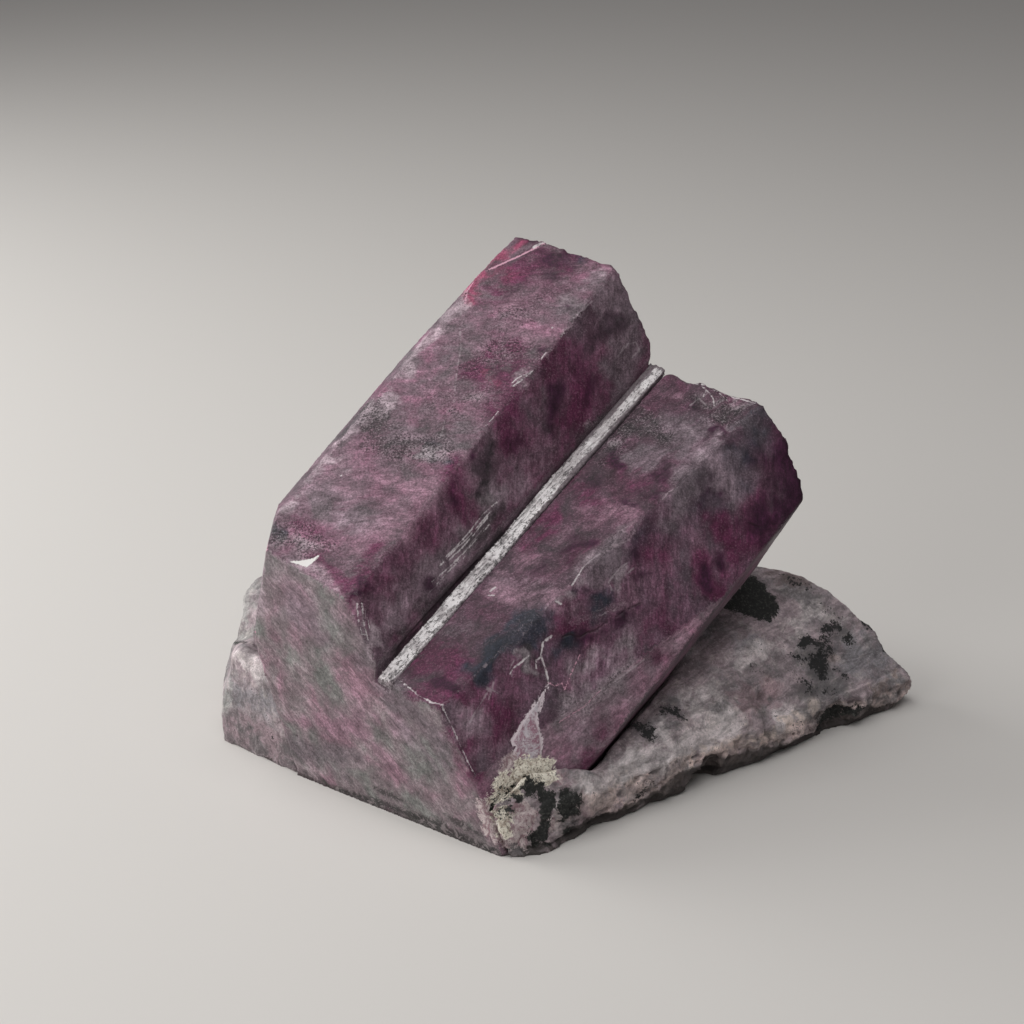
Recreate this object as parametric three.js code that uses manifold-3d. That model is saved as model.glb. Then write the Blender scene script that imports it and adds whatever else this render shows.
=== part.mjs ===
// Beryl on rhodonite: two intergrown beryl prisms leaning out of a broken block of rhodonite.
// Millimetres, +Z up, +X along the longest side, standing flat on z = 0.
// The crystals are cut by planes, the rock is made of roughened convex blocks joined together.

import * as THREE from 'three';
import { ConvexGeometry } from 'three/addons/geometries/ConvexGeometry.js';
import { SimplexNoise } from 'three/addons/math/SimplexNoise.js';
import { TessellateModifier } from 'three/addons/modifiers/TessellateModifier.js';
import { mergeVertices } from 'three/addons/utils/BufferGeometryUtils.js';
import Module from 'manifold-3d';

const wasm = await Module();
wasm.setup();

// ---------------------------------------------------------------- driving dimensions

const growthAzimuth = 45.1; // both crystals lean this way, degrees from +X towards +Y
const growthLean = 29.2; // degrees above the table
const crystalGap = 0.3; // clearance between touching pieces
const farAway = 400; // larger than the specimen, for cutting blocks
const overrun = 6; // how far rods and wedges run past what they are cut against
const tolerance = 1e-6;
const sameCorner = 1e-4; // corners closer than this are one

// A prism face is given by its turn round the growth axis (0 faces level to the right front, 90 up),
// its distance from the axis at the foot and its taper (positive closes in towards the tip).
const leftCrystal = {
  foot: [-40.3, -19.9, 21.7],
  faces: {
    rightWall: { turn: 25.4, distance: 16.1, taper: 3.2 },
    top: { turn: 74.3, distance: 17.9, taper: 0 },
    tipFacet: { turn: 80, distance: 21.8, taper: 1.9 },
    leftBevel: { turn: 112, distance: 23.5, taper: -2.1 },
    left: { turn: 165, distance: 17.15, taper: -4 },
    tipLeft: { turn: 167.7, distance: 20.3, taper: 0.9 },
    lowerLeft: { turn: 199.1, distance: 10.1, taper: -1 },
    underLeft: { turn: 250, distance: 24, taper: 0 },
    underRight: { turn: 300, distance: 21, taper: 0 },
  },
  ends: {
    back: { azimuth: 60.6, elevation: 2.4, distance: 61.4 },
    backRight: { azimuth: 31.6, elevation: -23.7, distance: 43.7 },
    footLeft: { azimuth: 177.5, elevation: 11, distance: 13.9 },
  },
};

const rightCrystal = {
  foot: [-23.5, -32.4, 15],
  faces: {
    top: { turn: 78, distance: 10.6, taper: 2.8 },
    rightWall: { turn: 34.5, distance: 10.8, taper: -1.1 },
    footFacet: { turn: 24.7, distance: 12.1, taper: -3.3 },
    lowerRight: { turn: -34, distance: 23.3, taper: 0.7 },
    under: { turn: -95, distance: 18, taper: 0 },
    underLeft: { turn: -138, distance: 17, taper: 0 },
    left: { turn: 165, distance: 13, taper: 0 }, // buried in the left crystal
  },
  ends: {
    back: { azimuth: 56.5, elevation: 9.3, distance: 68.3 },
    backLower: { azimuth: 56.5, elevation: -10.5, distance: 55.8 },
  },
};

// The flat face across both feet, and the rock's end of it.
const frontCut = { azimuth: 232.1, elevation: -3, through: [-31.3, -34.2, 25.7] };
const rockFront = { azimuth: 229, elevation: 0, through: [-39.4, -26.4, 0] };

// Rock fills this notch in the crystals' lower front corner.
const cornerNotch = [
  [-14.6, -47.5, 9], [-11.2, -48.5, -1], [-8.2, -43, 13.3], [1.5, -40, 10.6], [6, -34, 4],
  [-9, -36, -1], [-6, -36.5, 6], [2, -30, -1], [0, -32, 6],
];

// Groove between the crystals and the quartz strip in it: across is measured to the right of the seam
// along the right crystal's top face, up is measured off that face.
const groove = { left: -1.2, right: 1.9, depth: 1.5, headroom: 4 };
const veinRibs = [
  { across: -0.6, up: -0.35 },
  { across: -0.35, up: 0.25 },
  { across: 0, up: 0.05 },
  { across: 0.4, up: 0.4 },
  { across: 0.8, up: 0.12 },
  { across: 1.2, up: 0.3 },
  { across: 1.6, up: 0 },
];
const veinDepth = 1.1;
const veinStations = 26;
const veinWaver = 0.12; // how far the ribs wander from straight

// Cracks across the faces: wedges pressed in along a line, depth measured off the face.
const faceCracks = [
  { face: 'right.top', from: [-12.1, -35.5, 27.5], to: [-5, -29.3, 32.1], width: 1.6, depth: 0.6 },
  { face: 'right.rightWall', from: [-3.3, -26.9, 30.4], to: [9.9, -19.5, 32.3], width: 1.6, depth: 0.6 },
];

const crackHeadroom = 0.4; // how far the wedges stand above the face

// A facet on the left crystal's front corner, and a chip out of its front edge given by four points.
const footFacet = { faces: ['front', 'left.top', 'left.rightWall'], lengths: [1.2, 2.2, 9.5] };
const footNick = [[-46.6, -22.4, 40.6], [-41.8, -22.2, 41.5], [-43.9, -25.2, 39], [-44, -24, 41.5]];

// The rock: rough blocks given by their corners. Corners below the table are cut off flat.
const rockBlocks = {
  bed: [
    [-52, 11, 21], [-38, 20, 27], [-12, 24, 29], [10, 21, 27.5], [30, 16, 23],
    [-56, 20, 8], [-22, 42, 9], [10, 43, 10], [38, 34, 9],
    [-59, 16, -3], [-50, 33, -3], [-24, 45, -3], [8, 47, -3], [38, 39, -3], [54, 24, -3],
    [-58, -6, -3], [-12, -40, -3], [12, -24, -3], [40, -4, -3],
  ],
  ledge: [
    [-34, 38, 13], [-10, 44, 14], [16, 43, 12], [-36, 30, 15], [20, 30, 14],
    [-40, 44, -3], [-12, 52, -3], [22, 49, -3], [-40, 20, -3], [24, 20, -3],
  ],
  slab: [
    [20, 5, 25.1], [5, -20, 13.3],
    [32.3, 13, 24.5], [39.8, 12, 22.8], [44.3, 11.5, 20.7], [52.5, 10, 13], [56.1, 9, 9.2], [60.3, 7, 4.2],
    [1.5, -39.5, 7.5], [13.3, -27.5, 5.5], [29.4, -13.5, 5.5], [38.4, -9, 5], [53.5, 1, 4.5],
    [1.5, -40, 1.5], [13.5, -28, 2], [29.6, -14, 2], [38.6, -9.3, 2], [53.7, 0.6, 1.8], [60.2, 6.6, 2],
    [4, -32, -3], [14, -21, -3], [27, -10, -3], [37, -5, -3], [51, 5, -3], [56, 9, -3], [50, 22, -3],
    [20, 30, -3],
  ],
  leftTop: [
    [-55.6, 10, 22.9], [-57.9, 5.5, 21], [-58.7, 3.5, 17], [-59.2, 2, 14.8], [-50, 14, 24],
    [-44, 4, 24], [-48, -3, 15], [-58, 14, 12], [-45, 16, 10],
  ],
  leftFoot: [
    [-61.2, -7, -3], [-60.4, -8.5, 8], [-58.5, -9.5, 17.5], [-57, -8.5, 18.6], [-50, -15.5, 17.5],
    [-44, -23, 9], [-36, -34, -3], [-62, -14, -3], [-60.4, -12, 7],
    [-60, 3, 13.6], [-60, 10, -3], [-48, 5, 15], [-45, 0, -3],
  ],
  corner: [
    [-13.5, -49, -3], [-5.8, -47, -3], [0.5, -37, -3], [7, -28, -3],
    [-14.3, -47, 9], [-11, -46, 11], [-8.2, -42.5, 12.6], [-3, -40.5, 12], [1.5, -38.3, 9.5], [6, -33.5, 8.5],
    [-12, -36, 6], [0, -28, 8], [-5, -30, -3], [9, -23, -3],
  ],
};
const rockBites = [ // rough hollows knocked out of the rock
  { at: [46, -7, 1], radius: 4.5 },
  { at: [21, -23.5, 0], radius: 4 },
  { at: [5, -40, 0], radius: 4 },
  { at: [60, -2, 1], radius: 5 },
  { at: [-54, 40, 22], radius: 17 },
  { at: [36, 42, 26], radius: 18 },
  { at: [-14, 58, 26], radius: 17 },
  { at: [44, 26, 22], radius: 8 },
  { at: [-62.5, 2, 15], radius: 3.2 },
];
const rockEdge = 4.2; // longest triangle side on the broken surface
const tessellateRounds = 12; // enough splits for every side to come under that
const rockRoughness = { coarse: 0.7, coarseSpan: 11, fine: 0.35, fineSpan: 3.5 };
const brokenRoughness = { coarse: 1.5, coarseSpan: 13, fine: 0.7, fineSpan: 5 }; // the hidden back
const cornerStandsProud = 0.5; // rough corner rock above the crystal face
const notchInset = 0.08; // keeps the rock in the notch clear of its walls

// Bites out of the crystals' edges. An edge lies between two faces and ends at two more;
// each bite says where along the edge it is, how wide and how deep.
const bittenEdges = [
  {
    edge: ['left.top', 'left.rightWall'],
    ends: ['front', 'left.back'],
    bites: [{ at: 0.63, width: 7, depth: 0.5 }, { at: 0.27, width: 9, depth: 0.4 }],
  },
  {
    edge: ['left.top', 'left.back'],
    ends: ['left.tipFacet', 'left.rightWall'],
    bites: [{ at: 0.56, width: 4, depth: 0.4 }],
  },
  {
    edge: ['left.left', 'left.lowerLeft'],
    ends: ['front', 'left.back'],
    bites: [{ at: 0.5, width: 12, depth: 0.9 }],
  },
  {
    edge: ['right.top', 'right.back'],
    ends: ['left.rightWall', 'right.rightWall'],
    bites: [{ at: 0.3, width: 5, depth: 0.9 }, { at: 0.68, width: 8, depth: 0.7 }],
  },
  {
    edge: ['right.top', 'right.rightWall'],
    ends: ['front', 'right.back'],
    bites: [{ at: 0.22, width: 8, depth: 0.5 }, { at: 0.56, width: 10, depth: 0.5 }],
  },
  {
    edge: ['right.top', 'front'],
    ends: ['left.rightWall', 'right.rightWall'],
    bites: [{ at: 0.5, width: 4, depth: 0.5 }],
  },
  {
    edge: ['right.rightWall', 'front'],
    ends: ['right.top', 'table'],
    bites: [{ at: 0.13, width: 5, depth: 0.5 }],
  },
];

const scoopDetail = 4; // subdivisions of the balls that make bites in crystals
const biteDetail = 3; // and in rock

// ---------------------------------------------------------------- vectors and planes

const vec = ([x, y, z]) => new THREE.Vector3(x, y, z);
const rad = THREE.MathUtils.degToRad;

function direction(azimuth, elevation) {
  const level = Math.cos(rad(elevation));
  return new THREE.Vector3(
    level * Math.cos(rad(azimuth)),
    level * Math.sin(rad(azimuth)),
    Math.sin(rad(elevation)),
  );
}

const growth = direction(growthAzimuth, growthLean);
const levelRight = direction(growthAzimuth - 90, 0);
const upAcross = new THREE.Vector3().crossVectors(levelRight, growth);

// Planes keep the side that their normal points away from.
function planeThrough(normal, point) {
  const unit = normal.clone().normalize();
  return { normal: unit, distance: unit.dot(point) };
}

function prismPlane(foot, { turn, distance, taper }) {
  const normal = levelRight.clone().multiplyScalar(Math.cos(rad(turn)));
  normal.addScaledVector(upAcross, Math.sin(rad(turn))).multiplyScalar(Math.cos(rad(taper)));
  normal.addScaledVector(growth, Math.sin(rad(taper)));
  return { normal, distance: normal.dot(foot) + distance };
}

function crystalPlanes(name, crystal) {
  const foot = vec(crystal.foot);
  const planes = {};
  for (const [face, size] of Object.entries(crystal.faces)) {
    planes[`${name}.${face}`] = prismPlane(foot, size);
  }
  for (const [face, { azimuth, elevation, distance }] of Object.entries(crystal.ends)) {
    const normal = direction(azimuth, elevation);
    planes[`${name}.${face}`] = { normal, distance: normal.dot(foot) + distance };
  }
  return planes;
}

const planes = {
  ...crystalPlanes('left', leftCrystal),
  ...crystalPlanes('right', rightCrystal),
  front: planeThrough(direction(frontCut.azimuth, frontCut.elevation), vec(frontCut.through)),
  rockFront: planeThrough(direction(rockFront.azimuth, rockFront.elevation), vec(rockFront.through)),
  table: planeThrough(vec([0, 0, -1]), vec([0, 0, 0])),
};

function meetingPoint(a, b, c) {
  const bc = new THREE.Vector3().crossVectors(b.normal, c.normal);
  const ca = new THREE.Vector3().crossVectors(c.normal, a.normal);
  const ab = new THREE.Vector3().crossVectors(a.normal, b.normal);
  const volume = a.normal.dot(bc);
  if (Math.abs(volume) < tolerance) return null;
  return bc.multiplyScalar(a.distance).addScaledVector(ca, b.distance).addScaledVector(ab, c.distance)
    .divideScalar(volume);
}

function planesOf(prefix) {
  return Object.entries(planes).filter(([name]) => name.startsWith(prefix)).map(([, plane]) => plane);
}

// Convex block on the inner side of every plane; a margin moves all the planes out.
function blockInside(planeList, margin = 0) {
  const moved = planeList.map(({ normal, distance }) => ({ normal, distance: distance + margin }));
  const corners = [];
  for (let i = 0; i < moved.length; i += 1) {
    for (let j = i + 1; j < moved.length; j += 1) {
      for (let k = j + 1; k < moved.length; k += 1) {
        const point = meetingPoint(moved[i], moved[j], moved[k]);
        if (!point) continue;
        const inside = moved.every(({ normal, distance }) => normal.dot(point) < distance + tolerance);
        if (inside && !corners.some((corner) => corner.distanceTo(point) < sameCorner)) corners.push(point);
      }
    }
  }
  return new ConvexGeometry(corners);
}

// ---------------------------------------------------------------- joining and cutting

function solidFrom(geometry) {
  const bare = geometry.clone();
  bare.deleteAttribute('normal');
  bare.deleteAttribute('uv');
  const merged = mergeVertices(bare, sameCorner);
  const mesh = new wasm.Mesh({
    numProp: 3,
    vertProperties: new Float32Array(merged.attributes.position.array),
    triVerts: new Uint32Array(merged.index.array),
  });
  return new wasm.Manifold(mesh);
}

function geometryFrom(solid) {
  const mesh = solid.getMesh();
  const geometry = new THREE.BufferGeometry();
  geometry.setAttribute('position', new THREE.BufferAttribute(new Float32Array(mesh.vertProperties), 3));
  geometry.setIndex(new THREE.BufferAttribute(new Uint32Array(mesh.triVerts), 1));
  geometry.computeVertexNormals();
  return geometry;
}

// A big box that fills the outer side of a plane.
function outsideOf(plane, offset = 0) {
  const box = new THREE.BoxGeometry(farAway, farAway, farAway);
  box.translate(0, 0, farAway / 2);
  const turn = new THREE.Quaternion().setFromUnitVectors(new THREE.Vector3(0, 0, 1), plane.normal);
  box.applyQuaternion(turn);
  const centre = plane.normal.clone().multiplyScalar(plane.distance + offset);
  box.translate(centre.x, centre.y, centre.z);
  return solidFrom(box);
}

const cut = (solid, plane, offset = 0) => solid.subtract(outsideOf(plane, offset));

// ---------------------------------------------------------------- the crystals

function scoop({ edge, ends }, { at, width, depth }) {
  const [a, b] = edge.map((name) => planes[name]);
  const start = meetingPoint(a, b, planes[ends[0]]);
  const end = meetingPoint(a, b, planes[ends[1]]);
  const outward = a.normal.clone().add(b.normal).normalize();
  const half = width / 2;
  const radius = (half * half + depth * depth) / (2 * depth); // sphere that bites this wide at this depth
  const centre = start.lerp(end, at).addScaledVector(outward, radius - depth);
  const ball = new THREE.IcosahedronGeometry(radius, scoopDetail);
  ball.translate(centre.x, centre.y, centre.z);
  return solidFrom(ball);
}

// A corner where three faces meet, cut off flat: lengths are measured along the edges a-b, b-c and c-a.
function trimmedCorner({ faces, lengths }) {
  const corner = meetingPoint(...faces.map((name) => planes[name]));
  const points = lengths.map((length, i) => {
    const [a, b, c] = [0, 1, 2].map((step) => planes[faces[(i + step) % 3]]);
    const along = new THREE.Vector3().crossVectors(a.normal, b.normal).normalize();
    if (along.dot(c.normal) > 0) along.negate();
    return corner.clone().addScaledVector(along, length);
  });
  const normal = new THREE.Vector3()
    .crossVectors(points[1].clone().sub(points[0]), points[2].clone().sub(points[0]));
  if (normal.dot(corner.clone().sub(points[0])) < 0) normal.negate();
  return planeThrough(normal, points[0]);
}

// Axes of the groove: along the seam, across the right crystal's top face, and up off it.
const seamStart = meetingPoint(planes['left.rightWall'], planes['right.top'], planes.front);
const seamEnd = meetingPoint(planes['left.rightWall'], planes['right.top'], planes['right.back']);
const seamLength = seamStart.distanceTo(seamEnd);
const seamAlong = seamEnd.clone().sub(seamStart).normalize();
const seamUp = planes['right.top'].normal;
const seamAcross = new THREE.Vector3().crossVectors(seamAlong, seamUp);

function seamPoint(along, across, up) {
  return seamStart.clone().addScaledVector(seamAlong, along).addScaledVector(seamAcross, across)
    .addScaledVector(seamUp, up);
}

// Closed rod along the seam whose section may change from station to station.
function seamRod(stations, sectionAt) {
  const ringAt = (along) => sectionAt(along).map(({ across, up }) => seamPoint(along, across, up));
  const rings = stations.map(ringAt);
  const sides = rings[0].length;
  const corners = rings.flat();
  const faces = [];
  for (let ring = 0; ring + 1 < rings.length; ring += 1) {
    for (let side = 0; side < sides; side += 1) {
      const here = ring * sides + side;
      const next = ring * sides + ((side + 1) % sides);
      faces.push(here, here + sides, next, next, here + sides, next + sides);
    }
  }
  const last = (rings.length - 1) * sides;
  const flat = rings[0].map((_, side) => {
    const { across, up } = sectionAt(stations[0])[side];
    return new THREE.Vector2(across, up);
  });
  for (const [a, b, c] of THREE.ShapeUtils.triangulateShape(flat, [])) {
    faces.push(a, b, c, last + a, last + c, last + b);
  }
  const geometry = new THREE.BufferGeometry().setFromPoints(corners);
  geometry.setIndex(faces);
  return geometry;
}

function grooveRod() {
  const { left, right, depth, headroom } = groove;
  const section = [
    { across: left, up: -depth },
    { across: right, up: -depth },
    { across: right, up: headroom },
    { across: left, up: headroom },
  ];
  return solidFrom(seamRod([-overrun, seamLength + overrun], () => section));
}

function crackWedge({ face, from, to, width, depth }) {
  const up = planes[face].normal;
  const along = vec(to).sub(vec(from));
  const reach = along.length() / 2;
  const side = new THREE.Vector3().crossVectors(up, along.normalize());
  const centre = vec(from).add(vec(to)).multiplyScalar(0.5);
  centre.addScaledVector(up, planes[face].distance - up.dot(centre));
  const corner = (a, s, u) => centre.clone().addScaledVector(along, a).addScaledVector(side, s)
    .addScaledVector(up, u);
  return solidFrom(new ConvexGeometry([
    corner(-reach, 0, crackHeadroom), corner(reach, 0, crackHeadroom),
    corner(-reach / 3, width / 2, crackHeadroom), corner(reach / 3, width / 2, crackHeadroom),
    corner(-reach / 3, -width / 2, crackHeadroom), corner(reach / 3, -width / 2, crackHeadroom),
    corner(-reach / 4, width / 6, -depth), corner(reach / 4, width / 6, -depth),
  ]));
}

// The notch, with its corners pulled in by a share of their distance from its middle.
function notchBlock(share) {
  const corners = cornerNotch.map(vec);
  const centre = new THREE.Vector3();
  for (const corner of corners) centre.addScaledVector(corner, 1 / corners.length);
  return solidFrom(new ConvexGeometry(corners.map((corner) => corner.lerp(centre, share))));
}

const leftPlanes = [...planesOf('left.'), planes.front, planes.table];
const rightPlanes = [...planesOf('right.'), planes.front, planes.table];

function makeCrystals() {
  let pair = solidFrom(blockInside([...leftPlanes, trimmedCorner(footFacet)]));
  pair = pair.add(solidFrom(blockInside(rightPlanes)));
  pair = pair.subtract(grooveRod());
  for (const bitten of bittenEdges) {
    for (const bite of bitten.bites) pair = pair.subtract(scoop(bitten, bite));
  }
  for (const crack of faceCracks) pair = pair.subtract(crackWedge(crack));
  pair = pair.subtract(notchBlock(0));
  return pair.subtract(solidFrom(new ConvexGeometry(footNick.map(vec))));
}

// ---------------------------------------------------------------- the quartz strip in the groove

function makeVein() {
  const noise = new SimplexNoise(seededRandom(5));
  const step = (seamLength + 2 * overrun) / (veinStations - 1);
  const stations = Array.from({ length: veinStations }, (_, i) => i * step - overrun);
  const rod = seamRod(stations, (along) => {
    const ribs = veinRibs.map(({ across, up }, i) => ({
      across: across + (i % 6 === 0 ? 0 : veinWaver * noise.noise(along / 6, 9 * i)),
      up: up + veinWaver * noise.noise(along / 4, 40 + 9 * i),
    }));
    const first = ribs[0].across;
    const last = ribs[ribs.length - 1].across;
    return [{ across: first, up: -veinDepth }, { across: last, up: -veinDepth }, ...ribs.reverse()];
  });
  return cut(cut(solidFrom(rod), planes.front), planes['right.back']);
}

// ---------------------------------------------------------------- the rhodonite rock

function seededRandom(seed) {
  let state = seed;
  return {
    random() {
      state = (state * 16807) % 2147483647;
      return state / 2147483647;
    },
  };
}

const rockNoise = new SimplexNoise(seededRandom(23));

function roughen(geometry, { coarse, coarseSpan, fine, fineSpan }) {
  const { position } = geometry.attributes;
  for (let i = 0; i < position.count; i += 1) {
    const point = [position.getX(i), position.getY(i), position.getZ(i)];
    const moved = point.map((value, axis) => {
      const [x, y, z] = point.map((v) => v + 100 * axis);
      const broad = rockNoise.noise3d(x / coarseSpan, y / coarseSpan, z / coarseSpan);
      const small = rockNoise.noise3d(x / fineSpan, y / fineSpan, z / fineSpan);
      return value + coarse * broad + fine * small;
    });
    position.setXYZ(i, ...moved);
  }
  return geometry;
}

function roughBlock(corners, roughness = rockRoughness) {
  const hull = new ConvexGeometry(corners.map(vec));
  const fineHull = new TessellateModifier(rockEdge, tessellateRounds).modify(hull);
  return solidFrom(roughen(fineHull, roughness));
}

function makeMatrix() {
  const corner = cut(roughBlock(rockBlocks.corner), planes['right.rightWall'], cornerStandsProud);
  let rock = corner;
  for (const name of ['slab', 'leftTop', 'leftFoot']) rock = rock.add(roughBlock(rockBlocks[name]));
  for (const name of ['bed', 'ledge']) rock = rock.add(roughBlock(rockBlocks[name], brokenRoughness));
  for (const { at, radius } of rockBites) {
    const ball = roughen(new THREE.IcosahedronGeometry(radius, biteDetail).translate(...at), rockRoughness);
    rock = rock.subtract(solidFrom(ball));
  }
  rock = cut(cut(cut(rock, planes.front), planes.rockFront), planes.table);
  const [left, right] = [leftPlanes, rightPlanes].map((faces) => solidFrom(blockInside(faces, crystalGap)));
  const grown = left.add(right);
  return rock.subtract(grown.subtract(notchBlock(notchInset)));
}

// ---------------------------------------------------------------- the specimen

function piece(name, solid, { colour, roughness, metalness }) {
  const material = new THREE.MeshStandardMaterial({ color: colour, roughness, metalness });
  const mesh = new THREE.Mesh(geometryFrom(solid), material);
  mesh.name = name;
  return mesh;
}

const specimen = new THREE.Group();
specimen.add(
  piece('beryl_crystals', makeCrystals(), { colour: 0x7a5566, roughness: 0.45, metalness: 0 }),
  piece('seam_vein', makeVein(), { colour: 0xb9b6b4, roughness: 0.6, metalness: 0 }),
  piece('rhodonite_matrix', makeMatrix(), { colour: 0x8c8084, roughness: 0.75, metalness: 0 }),
);

// The origin is the middle of the footprint, on the table.
const box = new THREE.Box3().setFromObject(specimen, true);
const middle = box.getCenter(new THREE.Vector3());
specimen.position.set(-middle.x, -middle.y, -box.min.z);

export default specimen;
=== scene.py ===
import math

import bmesh
import bpy
import numpy as np
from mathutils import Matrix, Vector
from mathutils.bvhtree import BVHTree
from mathutils.kdtree import KDTree


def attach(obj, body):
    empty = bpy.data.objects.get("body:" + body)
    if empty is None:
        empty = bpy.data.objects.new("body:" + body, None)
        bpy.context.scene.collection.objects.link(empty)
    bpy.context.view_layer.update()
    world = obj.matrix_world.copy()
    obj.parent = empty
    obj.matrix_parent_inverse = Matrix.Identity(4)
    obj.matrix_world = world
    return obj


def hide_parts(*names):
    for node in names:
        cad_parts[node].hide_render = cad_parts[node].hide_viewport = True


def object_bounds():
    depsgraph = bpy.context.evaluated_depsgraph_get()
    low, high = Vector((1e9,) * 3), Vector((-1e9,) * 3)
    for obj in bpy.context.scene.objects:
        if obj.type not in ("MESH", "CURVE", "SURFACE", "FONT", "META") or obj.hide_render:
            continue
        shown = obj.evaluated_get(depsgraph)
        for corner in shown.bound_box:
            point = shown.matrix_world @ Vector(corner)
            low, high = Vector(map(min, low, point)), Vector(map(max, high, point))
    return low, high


mm = 0.001
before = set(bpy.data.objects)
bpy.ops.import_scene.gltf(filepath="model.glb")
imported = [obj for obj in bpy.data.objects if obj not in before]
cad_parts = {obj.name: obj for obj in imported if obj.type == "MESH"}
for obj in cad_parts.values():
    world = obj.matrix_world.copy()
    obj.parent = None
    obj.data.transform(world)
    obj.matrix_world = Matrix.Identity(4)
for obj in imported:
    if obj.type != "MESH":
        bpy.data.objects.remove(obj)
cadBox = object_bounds()
print("frame loaded:", ", ".join(sorted(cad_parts)))


# camera, light and floor

view = {
    "place": (-10.623 * mm, -379.465 * mm, 196 * mm),
    "tiltDown": math.radians(22.5),  # looks along +Y, this far below level
    "lens": 85.0,
    "sensor": 36.0,
    "pixels": 1024,
    "nearest": 0.01,
    "subject": (0.33, 0.48),  # from the near to the far side of the specimen
}
softboxes = {
    "side": {"azimuth": 160, "lift": 20, "power": 2.24, "colour": (1.0, 0.985, 0.96)},
    "over": {"azimuth": 160, "lift": 68, "power": 0.82, "colour": (1.0, 0.985, 0.96)},
    "right": {"azimuth": 290, "lift": 68, "power": 0.88, "colour": (1.0, 0.98, 0.97)},
    "front": {"azimuth": 220, "lift": 20, "power": 0.8, "colour": (1.0, 0.99, 0.97)},
}
softboxSize = 0.4
softboxDistance = 0.55
softboxAim = (0, 0, 30 * mm)
sky = {"colour": (1.0, 0.97, 0.98), "strength": 0.15}
table = {"colour": (0.635, 0.62, 0.60), "roughness": 0.8, "side": 6.0}


def makeCamera():
    data = bpy.data.cameras.new("specimenCamera")
    data.lens = view["lens"]
    data.sensor_width = view["sensor"]
    data.clip_start = view["nearest"]
    camera = bpy.data.objects.new("specimenCamera", data)
    camera.location = view["place"]
    camera.rotation_euler = (math.pi / 2 - view["tiltDown"], 0, 0)
    bpy.context.scene.collection.objects.link(camera)
    bpy.context.scene.camera = camera


def makeSoftbox(name, azimuth, lift, power, colour):
    data = bpy.data.lights.new(name, "AREA")
    data.shape = "DISK"
    data.size = softboxSize
    data.energy = power
    data.color = colour
    lamp = bpy.data.objects.new(name, data)
    turn = math.radians(azimuth)
    rise = math.radians(lift)
    towards = Vector((math.cos(rise) * math.cos(turn), math.cos(rise) * math.sin(turn), math.sin(rise)))
    lamp.location = towards * softboxDistance + Vector(softboxAim)
    lamp.rotation_euler = towards.to_track_quat("Z", "Y").to_euler()
    bpy.context.scene.collection.objects.link(lamp)


def makeStudio():
    scene = bpy.context.scene
    scene.view_settings.view_transform = "Standard"
    world = bpy.data.worlds.new("paleSky")
    world.use_nodes = True
    background = world.node_tree.nodes["Background"]
    background.inputs["Color"].default_value = (*sky["colour"], 1)
    background.inputs["Strength"].default_value = sky["strength"]
    scene.world = world
    for name, settings in softboxes.items():
        makeSoftbox(name + "Softbox", **settings)
    half = table["side"] / 2
    corners = [(-half, -half, 0), (half, -half, 0), (half, half, 0), (-half, half, 0)]
    mesh = bpy.data.meshes.new("paleTable")
    mesh.from_pydata(corners, [], [(0, 1, 2, 3)])
    floor = bpy.data.objects.new("paleTable", mesh)
    scene.collection.objects.link(floor)
    paint = bpy.data.materials.new("paleTablePaint")
    paint.use_nodes = True
    shader = paint.node_tree.nodes["Principled BSDF"]
    shader.inputs["Base Color"].default_value = (*table["colour"], 1)
    shader.inputs["Roughness"].default_value = table["roughness"]
    mesh.materials.append(paint)


makeCamera()
makeStudio()
print("camera, light and table ready")


# directions and noise

growthTurn = math.radians(45.1)  # both crystals lean up and back towards +X
growthRise = math.radians(29.2)
growth = np.array([
    math.cos(growthRise) * math.cos(growthTurn),
    math.cos(growthRise) * math.sin(growthTurn),
    math.sin(growthRise),
])
latticeSide = 32  # noise repeats after so many cells


def cloudNoise(points, size, seed):
    lattice = np.random.default_rng(seed).normal(0, 1, (latticeSide, latticeSide, latticeSide, 3))
    spot = points / size
    cell = np.floor(spot).astype(int)
    part = spot - cell
    fade = part * part * (3 - 2 * part)
    total = np.zeros(len(points))
    for corner in np.ndindex(2, 2, 2):
        step = np.array(corner)
        weight = np.prod(np.where(step == 1, fade, 1 - fade), axis=1)
        x, y, z = ((cell + step) % latticeSide).T
        total += weight * np.sum(lattice[x, y, z] * (part - step), axis=1)
    return total  # about -1 to 1


def layeredNoise(points, size, seed, layers=4, fall=0.5):
    return sum(cloudNoise(points, size / 2 ** i, seed + i) * fall ** i for i in range(layers))


def between(value, low, high):
    share = np.clip((value - low) / (high - low), 0, 1)
    return share * share * (3 - 2 * share)


# meshes

def mergedMesh(nodeName):
    work = bmesh.new()
    work.from_mesh(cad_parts[nodeName].data)
    bmesh.ops.remove_doubles(work, verts=work.verts, dist=0.002 * mm)
    bmesh.ops.recalc_face_normals(work, faces=work.faces)
    mesh = bpy.data.meshes.new(nodeName + "Merged")
    work.to_mesh(mesh)
    work.free()
    return mesh


def applyModifier(piece, modifier):
    whole = bpy.data.meshes.new_from_object(piece.evaluated_get(bpy.context.evaluated_depsgraph_get()))
    piece.modifiers.remove(modifier)
    whole.name = piece.name
    piece.data = whole


def denseObject(name, mesh, voxel):
    piece = bpy.data.objects.new(name, mesh)
    bpy.context.scene.collection.objects.link(piece)
    remesh = piece.modifiers.new("grid", "REMESH")
    remesh.mode = "VOXEL"
    remesh.voxel_size = voxel
    remesh.adaptivity = 0
    remesh.use_smooth_shade = True
    applyModifier(piece, remesh)
    return piece


def vectorsOf(items, key):
    flat = np.empty(len(items) * 3, np.float32)
    items.foreach_get(key, flat)
    return flat.reshape(-1, 3).astype(float)


def pointsOf(mesh):
    return vectorsOf(mesh.vertices, "co")


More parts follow.
